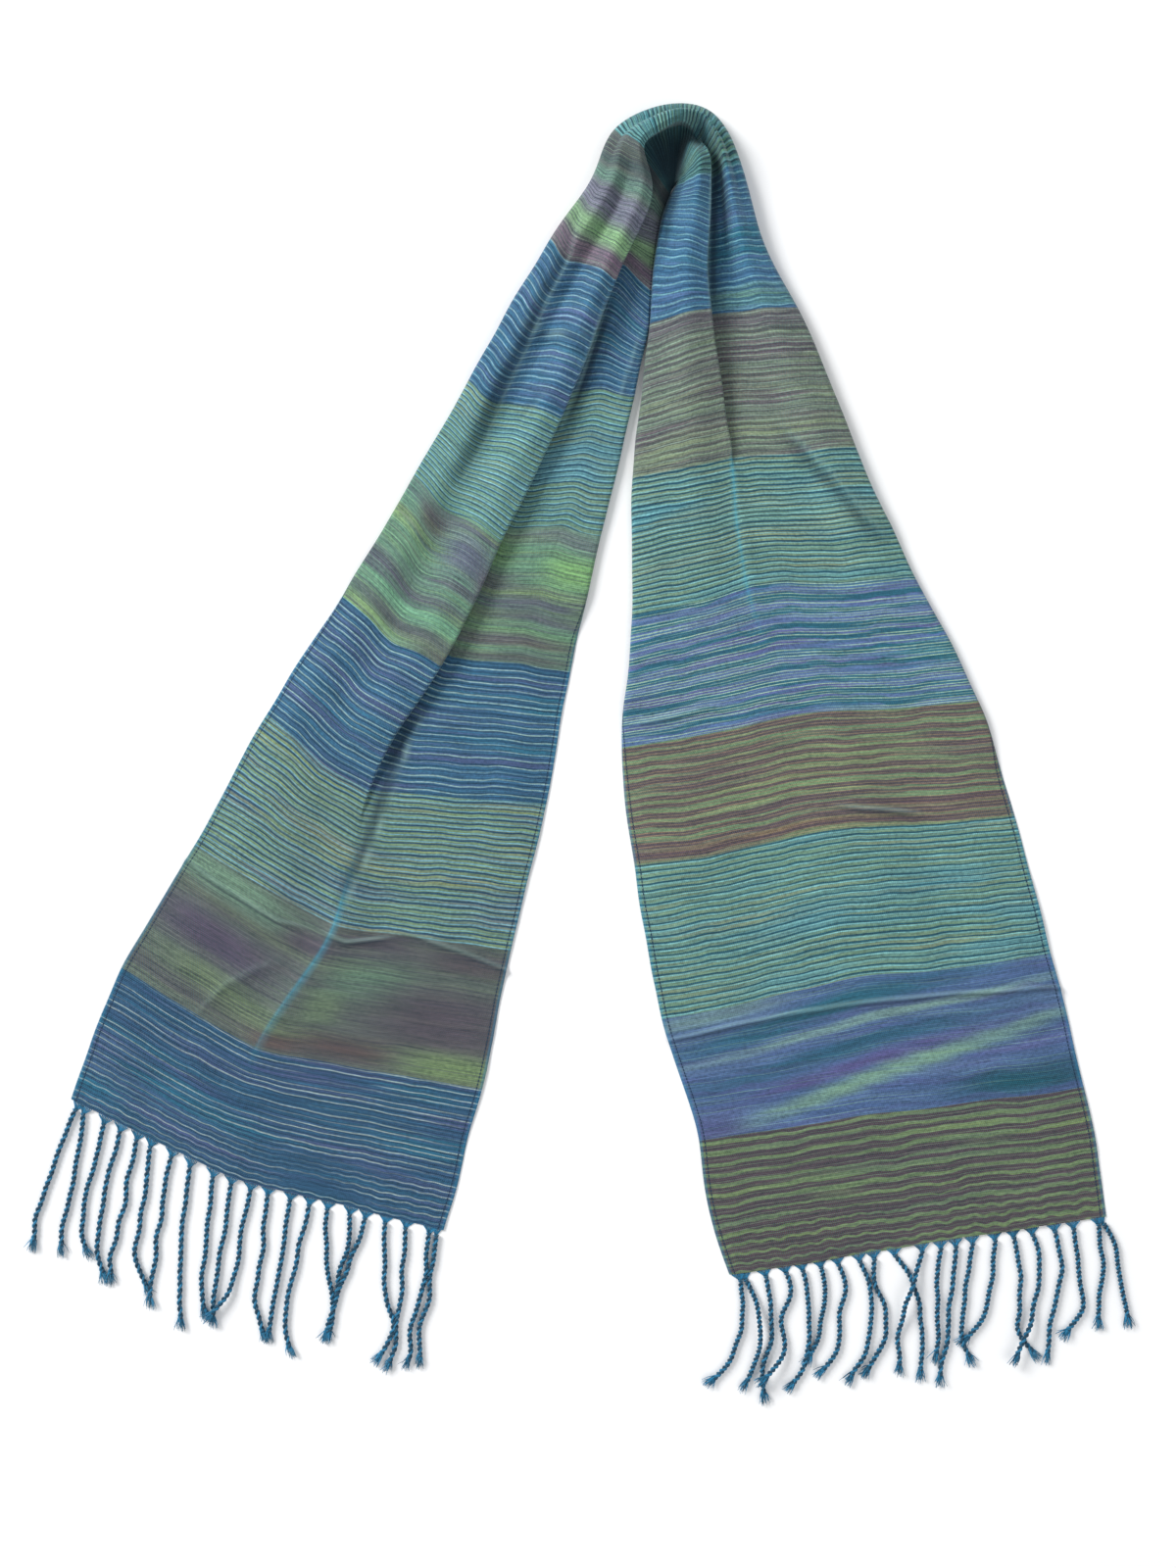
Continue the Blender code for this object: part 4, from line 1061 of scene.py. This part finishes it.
# A row for each strand from the left end of its hem, in millimetres: where on the hem it hangs, as a
# share, how far its tip lies below, how far it has drifted to the right at each fifth of its fall, and
# how high it is lifted and at what share of its fall, where it lies over another.
STRAND_COLUMNS = ("along", "fall", "drift1", "drift2", "drift3", "drift4", "tip", "lift", "lift_at")
LEFT_STRANDS = (
    (0.010, 105, -9, -17, -23, -29, -32),
    (0.032, 106, -2, -5, -9, -14, -15),
    (0.090, 101, -4, -9, -14, -17, -13),
    (0.135, 113, -5, -10, -14, -18, -14),
    (0.182, 108, -4, -8, -13, -17, -20),
    (0.221, 111, -3, -5, -8, -11, -5),
    (0.280, 113, -4, -7, -10, -13, -16),
    (0.333, 122, -3, -6, -7, -8, -7),
    (0.397, 106, -2, -4, -6, -8, -5),
    (0.447, 106, -3, -6, -9, -12, -14),
    (0.499, 99, -4, -7, -9, -14, -28, 3, 1.0),
    (0.545, 110, -2, -5, -7, -9, -4),
    (0.604, 106, -3, -6, -9, -12, -15),
    (0.655, 114, -5, -10, -14, -19, -15),
    (0.703, 98, -1, -1, 1, 4, 1),
    (0.762, 95, -1, -5, -9, -13, -17),
    (0.803, 92, -5, -11, -18, -25, -29),
    (0.856, 106, -1, -2, 1, 5, -5),
    (0.910, 108, -1, -3, -5, -8, -12),
    (0.972, 101, -2, -4, -9, -14, -16),
    (0.992, 98, -2, -5, -9, -12, -13),
)
RIGHT_STRANDS = (
    (0.016, 80, 1, 1, -2, -8, -21),
    (0.030, 83, 7, 10, 10, 8, 1, 5, 0.5),
    (0.085, 94, 3, 4, 2, -1, -2),
    (0.140, 84, 4, -2, -2, -3, -16, 5, 1.0),
    (0.185, 91, 4, 4, 4, 2, -8),
    (0.235, 72, 3, 3, 0, -2, -7),
    (0.282, 85, 5, 1, -1, -2, -11),
    (0.340, 92, 7, 9, 8, 4, -6),
    (0.380, 89, 0, 7, 10, 6, -5),
    (0.436, 93, 12, 18, 21, 20, 21),
    (0.510, 92, -5, -12, -17, -18, -17, 6, 0.4),
    (0.560, 85, -2, -1, -2, -2, -3),
    (0.600, 104, -2, -4, -6, -9, -13),
    (0.645, 91, -3, -5, -6, -9, -4),
    (0.705, 80, -1, -3, -5, -9, -21),
    (0.755, 92, 3, 4, 5, 3, 13),
    (0.805, 96, 5, 3, 1, -5, -13, 5, 0.9),
    (0.865, 98, 4, 4, 2, -2, -5),
    (0.915, 83, 2, 5, 5, 7, -4),
    (0.982, 77, 1, 3, 2, 0, 0),
    (0.996, 76, 8, 11, 12, 15, 18),
)
DRIFTS = ("drift1", "drift2", "drift3", "drift4", "tip")
# Over what share of its fall a lifted strand rises and falls.
LIFT_SPAN = 0.2

# The two-ply strand, in millimetres: its plies' radius, how near their middles lie, the length of a twist,
# the points round and along it, and the length and rest height of the strand that is copied.
PLY_RADIUS, PLY_NEAR, PLY_PITCH = 1.15, 0.86, 9.0
PLY_SIDES, PLY_STEPS = 7, 14
STRAND_LENGTH, STRAND_REST = 110.0, 2.25
# The tones of its two plies.
DARK_PLY, BRIGHT_PLY = 0.02, 0.50
# The points of its guide and of its fine route, then how far it wiggles, how closely, the layer of that
# noise, and how soon below the hem it starts.
GUIDE_POINTS, ROUTE_STEPS = 20, 60
WIGGLE, WIGGLE_SCALE, WIGGLE_LAYER, WIGGLE_START = 3.0, 0.05, 4.0, 3

# How far the hem line and each strand's root lie outside the cloth, in millimetres, and the step in bands
# that finds the way out of a hem.
HEM_OUT, ROOT_OUT, HEM_STEP = 0.3, 5.0, 0.02
# Warp ends that gather into a strand: how many, how far along the hem they come from, their size and tone.
GATHER_ENDS, GATHER_REACH, GATHER_RADIUS, GATHER_TONE = 9, 5.2, 0.42, (0.30, 0.80)
GATHER_IN, GATHER_CLOSE, GATHER_BOW, GATHER_LIFT = 1.5, 0.12, 0.16, (-0.5, 0.7)
# The loose tuft at a strand's tip: its hairs, how they spread, and their reach, lift, side, size and tone.
TUFT_HAIRS, TUFT_SPREAD, TUFT_REACH, TUFT_LIFT = 34, 0.30, (6.0, 15.0), (-1.2, 1.3)
TUFT_SIDE, TUFT_BACK, TUFT_RADIUS, TUFT_TONE = (-1.1, 1.1), 2.5, (0.4, 0.65), (0.15, 1.0)
# How far a thread stays clear of the floor, in millimetres, and what a fringe's seed adds to its band.
THREAD_CLEAR, SEED_STEP = 0.05, 5


def hem_line(band):
    """A hem's points from left to right, with the way out of the cloth."""
    rim = slice(TURN_STEPS, -TURN_STEPS)
    reach = np.interp(band, *zip(*ROUNDING))
    row = rounded(section(band), reach)[rim]
    inside = rounded(section(band + (HEM_STEP if band == 0 else -HEM_STEP)), reach)[rim]
    out = row - inside
    out[:, 2] = 0
    out /= np.linalg.norm(out, axis=1, keepdims=True)
    return (row, out) if band == 0 else (row[::-1], out[::-1])


def straight_strand():
    """One two-ply strand along X, from the origin, modelled once."""
    bpy.ops.object.select_all(action="DESELECT")
    bpy.ops.mesh.primitive_circle_add(
        vertices=PLY_SIDES, radius=PLY_RADIUS * MM, fill_type="NOTHING",
        location=(0, PLY_RADIUS * PLY_NEAR * MM, 0), rotation=(0, math.pi / 2, 0),
    )
    ply = bpy.context.active_object
    ply.name = "strand_pattern"
    bpy.ops.object.transform_apply(location=True, rotation=True, scale=True)
    turns = STRAND_LENGTH / PLY_PITCH
    screw = ply.modifiers.new("twist", "SCREW")
    screw.axis = "X"
    screw.angle = 2 * math.pi * turns
    screw.screw_offset = STRAND_LENGTH * MM
    screw.steps = screw.render_steps = round(turns * PLY_STEPS)
    screw.use_smooth_shade = True
    apply_modifiers(ply)
    bpy.ops.object.mode_set(mode="EDIT")
    bpy.ops.mesh.select_all(action="SELECT")
    bpy.ops.mesh.duplicate()
    bpy.ops.transform.rotate(value=math.pi, orient_axis="X", center_override=(0, 0, 0))
    bpy.ops.object.mode_set(mode="OBJECT")
    tones = ply.data.attributes.new("tone", "FLOAT", "POINT")
    half = len(ply.data.vertices) // 2
    for i, spot in enumerate(tones.data):
        spot.value = DARK_PLY if i < half else BRIGHT_PLY
    edit = bmesh.new()
    edit.from_mesh(ply.data)
    bmesh.ops.holes_fill(edit, edges=[e for e in edit.edges if e.is_boundary], sides=PLY_SIDES)
    bmesh.ops.recalc_face_normals(edit, faces=edit.faces[:])
    edit.to_mesh(ply.data)
    edit.free()
    return ply


def strand_guide(root, strand):
    """The points that one strand follows from its root to its tip."""
    fall = strand["fall"] - ROOT_OUT
    drifts = (0, *(strand[column] for column in DRIFTS))
    drift = natural_curve([(i / len(DRIFTS), d) for i, d in enumerate(drifts)])
    points = []
    for i in range(GUIDE_POINTS + 1):
        share = i / GUIDE_POINTS
        lift = strand["lift"] * math.exp(-(((share - strand["lift_at"]) / LIFT_SPAN) ** 2))
        wiggle = noise.noise(Vector((fall * share * WIGGLE_SCALE, root[0], WIGGLE_LAYER)))
        sway = WIGGLE * wiggle * min(share * WIGGLE_START, 1)
        points.append((root[0] + drift(share)[0] + sway, root[1] - fall * share, STRAND_REST + lift))
    return np.array(points)


def lay_strand(pattern, name, points):
    """A copy of the strand laid along its points, and the fine route that it takes."""
    run = np.concatenate([[0], np.cumsum(np.linalg.norm(np.diff(points, axis=0), axis=1))])
    route = natural_curve(np.column_stack([run / run[-1], points]))
    fine = np.array([route(i / ROUTE_STEPS) for i in range(ROUTE_STEPS + 1)])
    fine[:, 2] = np.maximum(fine[:, 2], STRAND_REST)
    line = bpy.data.curves.new(name, "CURVE")
    line.dimensions = "3D"
    line.twist_mode = "Z_UP"
    spline = line.splines.new("POLY")
    spline.points.add(len(fine) - 1)
    for spot, place in zip(spline.points, fine):
        spot.co = (*(place * MM), 1)
    guide = new_object(name + "_guide", line)
    strand = new_object(name, pattern.data.copy())
    for vertex in strand.data.vertices:
        vertex.co.x *= run[-1] / STRAND_LENGTH
    bend = strand.modifiers.new("bend", "CURVE")
    bend.object = guide
    bend.deform_axis = "POS_X"
    apply_modifiers(strand)
    bpy.data.objects.remove(guide)
    return strand, fine


def thread(points, radius, sides=3, taper=0.3):
    """A fine thread along points, as points and faces."""
    points = np.array(points, float)
    points[:, 2] = np.maximum(points[:, 2], radius + THREAD_CLEAR)
    heading = np.gradient(points, axis=0)
    heading /= np.linalg.norm(heading, axis=1, keepdims=True) + TINY ** 2
    made = []
    for i, (place, way) in enumerate(zip(points, heading)):
        side = np.cross(way, (0, 0, 1))
        side /= np.linalg.norm(side) + TINY ** 2
        up = np.cross(side, way)
        size = radius * (1 - (1 - taper) * i / (len(points) - 1))
        for k in range(sides):
            angle = 2 * math.pi * k / sides
            made.append(place + (side * math.cos(angle) + up * math.sin(angle)) * size)
    faces = [tuple(range(sides)), tuple(range(len(made) - 1, len(made) - sides - 1, -1))]
    for i in range(len(points) - 1):
        for k in range(sides):
            a, b = i * sides + k, i * sides + (k + 1) % sides
            faces.append((b, a, a + sides, b + sides))
    return made, faces


def gathered_ends(on_hem, share, length, root, way, draw):
    """The warp ends that gather from the hem into a strand, one by one."""
    half = GATHER_ENDS // 2
    for k in range(GATHER_ENDS):
        offset = (k - half) / half * GATHER_REACH
        first = on_hem(min(max(share + offset / length, 0.0), 1.0))
        first[2] = max(first[2], 0) + 0.5
        last = root + way * GATHER_IN + np.array([offset * GATHER_CLOSE, 0, draw.uniform(*GATHER_LIFT)])
        middle = first * 0.5 + last * 0.5 + way * 0.3
        middle[0] -= offset * GATHER_BOW
        yield thread([first - way, first + way * 0.4, middle, last], GATHER_RADIUS, 4, 0.8)


def tuft(fine, draw):
    """The loose hairs at a strand's tip, one by one."""
    tip = fine[-1]
    heading = (fine[-1] - fine[-3]) / np.linalg.norm(fine[-1] - fine[-3])
    side = np.array([-heading[1], heading[0], 0])
    for _ in range(TUFT_HAIRS):
        turn = draw.gauss(0, TUFT_SPREAD)
        reach = draw.uniform(*TUFT_REACH)
        way = np.array([*heading[:2], 0]) * math.cos(turn) + side * math.sin(turn)
        lift = draw.uniform(*TUFT_LIFT)
        aside = side * draw.uniform(*TUFT_SIDE)
        start = tip - heading * TUFT_BACK + aside + np.array([0, 0, lift * 0.6])
        end = tip + way * reach * 0.7 + aside * 0.5 + np.array([0, 0, lift])
        bend = start * 0.5 + end * 0.5 + aside * 0.7
        bend[2] += 0.4
        yield thread([start, bend, end], draw.uniform(*TUFT_RADIUS))


def make_fringe(name, band, rows, pattern, finish):
    """One hem's fringe as one piece: its strands, their gathered ends and their tufts."""
    draw = random.Random(band + SEED_STEP)
    row, out = hem_line(band)
    line = row + out * HEM_OUT
    steps = np.concatenate([[0], np.cumsum(np.linalg.norm(np.diff(line[:, :2], axis=0), axis=1))])
    length = steps[-1]
    steps /= length
    strands = []
    points, faces, shades = [], [], []

    def on_hem(share, values=line):
        """The point, or the value of another array, at a share of the hem."""
        return np.array([np.interp(share, steps, values[:, k]) for k in range(3)])

    def add(threads, tones):
        """Adds threads to the fringe, each in its own tone."""
        for corners, sides in threads:
            faces.extend(tuple(len(points) + k for k in face) for face in sides)
            points.extend(corners)
            shades.extend([draw.uniform(*tones)] * len(corners))

    for i, entry in enumerate(rows):
        strand = {"lift": 0, "lift_at": 0.5, **dict(zip(STRAND_COLUMNS, entry))}
        share = strand["along"]
        way = on_hem(share, out)
        root = on_hem(share) + way * ROOT_OUT
        piece, fine = lay_strand(pattern, f"{name}_{i:02d}", strand_guide(root, strand))
        strands.append(piece)
        add(gathered_ends(on_hem, share, length, root, way, draw), GATHER_TONE)
        add(tuft(fine, draw), TUFT_TONE)
    mesh = bpy.data.meshes.new(name)
    mesh.from_pydata([tuple(np.array(p) * MM) for p in points], [], faces)
    mesh.update()
    mesh.attributes.new("tone", "FLOAT", "POINT").data.foreach_set("value", np.array(shades, np.float32))
    fringe = new_object(name, mesh)
    only(fringe, *strands)
    bpy.ops.object.join()
    fringe.data.materials.append(finish)
    fringe.data.shade_smooth()
    return fringe


cloth = make_cloth()
cloth.data.materials.append(woven_finish())
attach(cloth, "root")
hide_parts("left_leg_cloth", "crown_cloth", "right_leg_cloth")

yarn = yarn_finish()
pattern = straight_strand()
left_fringe = make_fringe("left_twisted_fringe", 0, LEFT_STRANDS, pattern, yarn)
right_fringe = make_fringe("right_twisted_fringe", BANDS, RIGHT_STRANDS, pattern, yarn)
bpy.data.objects.remove(pattern)
for piece, node in ((left_fringe, "left_fringe"), (right_fringe, "right_fringe")):
    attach(piece, "root")
    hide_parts(node)

# The floor is pale paper. It and the lights are the stage.
FLOOR_SIZE, PAPER_COLOUR = 6.0, (0.93, 0.93, 0.93, 1)
bpy.ops.object.select_all(action="DESELECT")
bpy.ops.mesh.primitive_plane_add(size=FLOOR_SIZE, location=(0, 0, 0))
floor = bpy.context.active_object
floor.name = "pale_floor"
paper = Finish("pale_floor")
paper.surface({"Base Color": PAPER_COLOUR, "Roughness": 0.9, "Specular IOR Level": 0.1})
floor.data.materials.append(paper.material)

# A large soft light from the left and behind, a weak one from the right and in front, and a pale room:
# each light's place and size in metres, and its power in watts.
LIGHTS = (
    ("window_light", (-3.2, 2.2, 2.6), 2.0, 225),
    ("fill_light", (1.8, -1.6, 2.8), 2.5, 30),
)
ROOM_COLOUR, ROOM_STRENGTH = (0.95, 0.97, 1.0, 1), 0.52

for name, place, size, power in LIGHTS:
    panel = bpy.data.lights.new(name, "AREA")
    panel.shape = "SQUARE"
    panel.size = size
    panel.energy = power
    lamp = new_object(name, panel)
    lamp.location = place
    lamp.rotation_mode = "QUATERNION"
    lamp.rotation_quaternion = (-Vector(place)).to_track_quat("-Z", "Y")

room = bpy.data.worlds.new("studio")
room.use_nodes = True
background = room.node_tree.nodes["Background"]
background.inputs["Color"].default_value = ROOM_COLOUR
background.inputs["Strength"].default_value = ROOM_STRENGTH
bpy.context.scene.world = room
bpy.context.scene.view_settings.view_transform = "Standard"
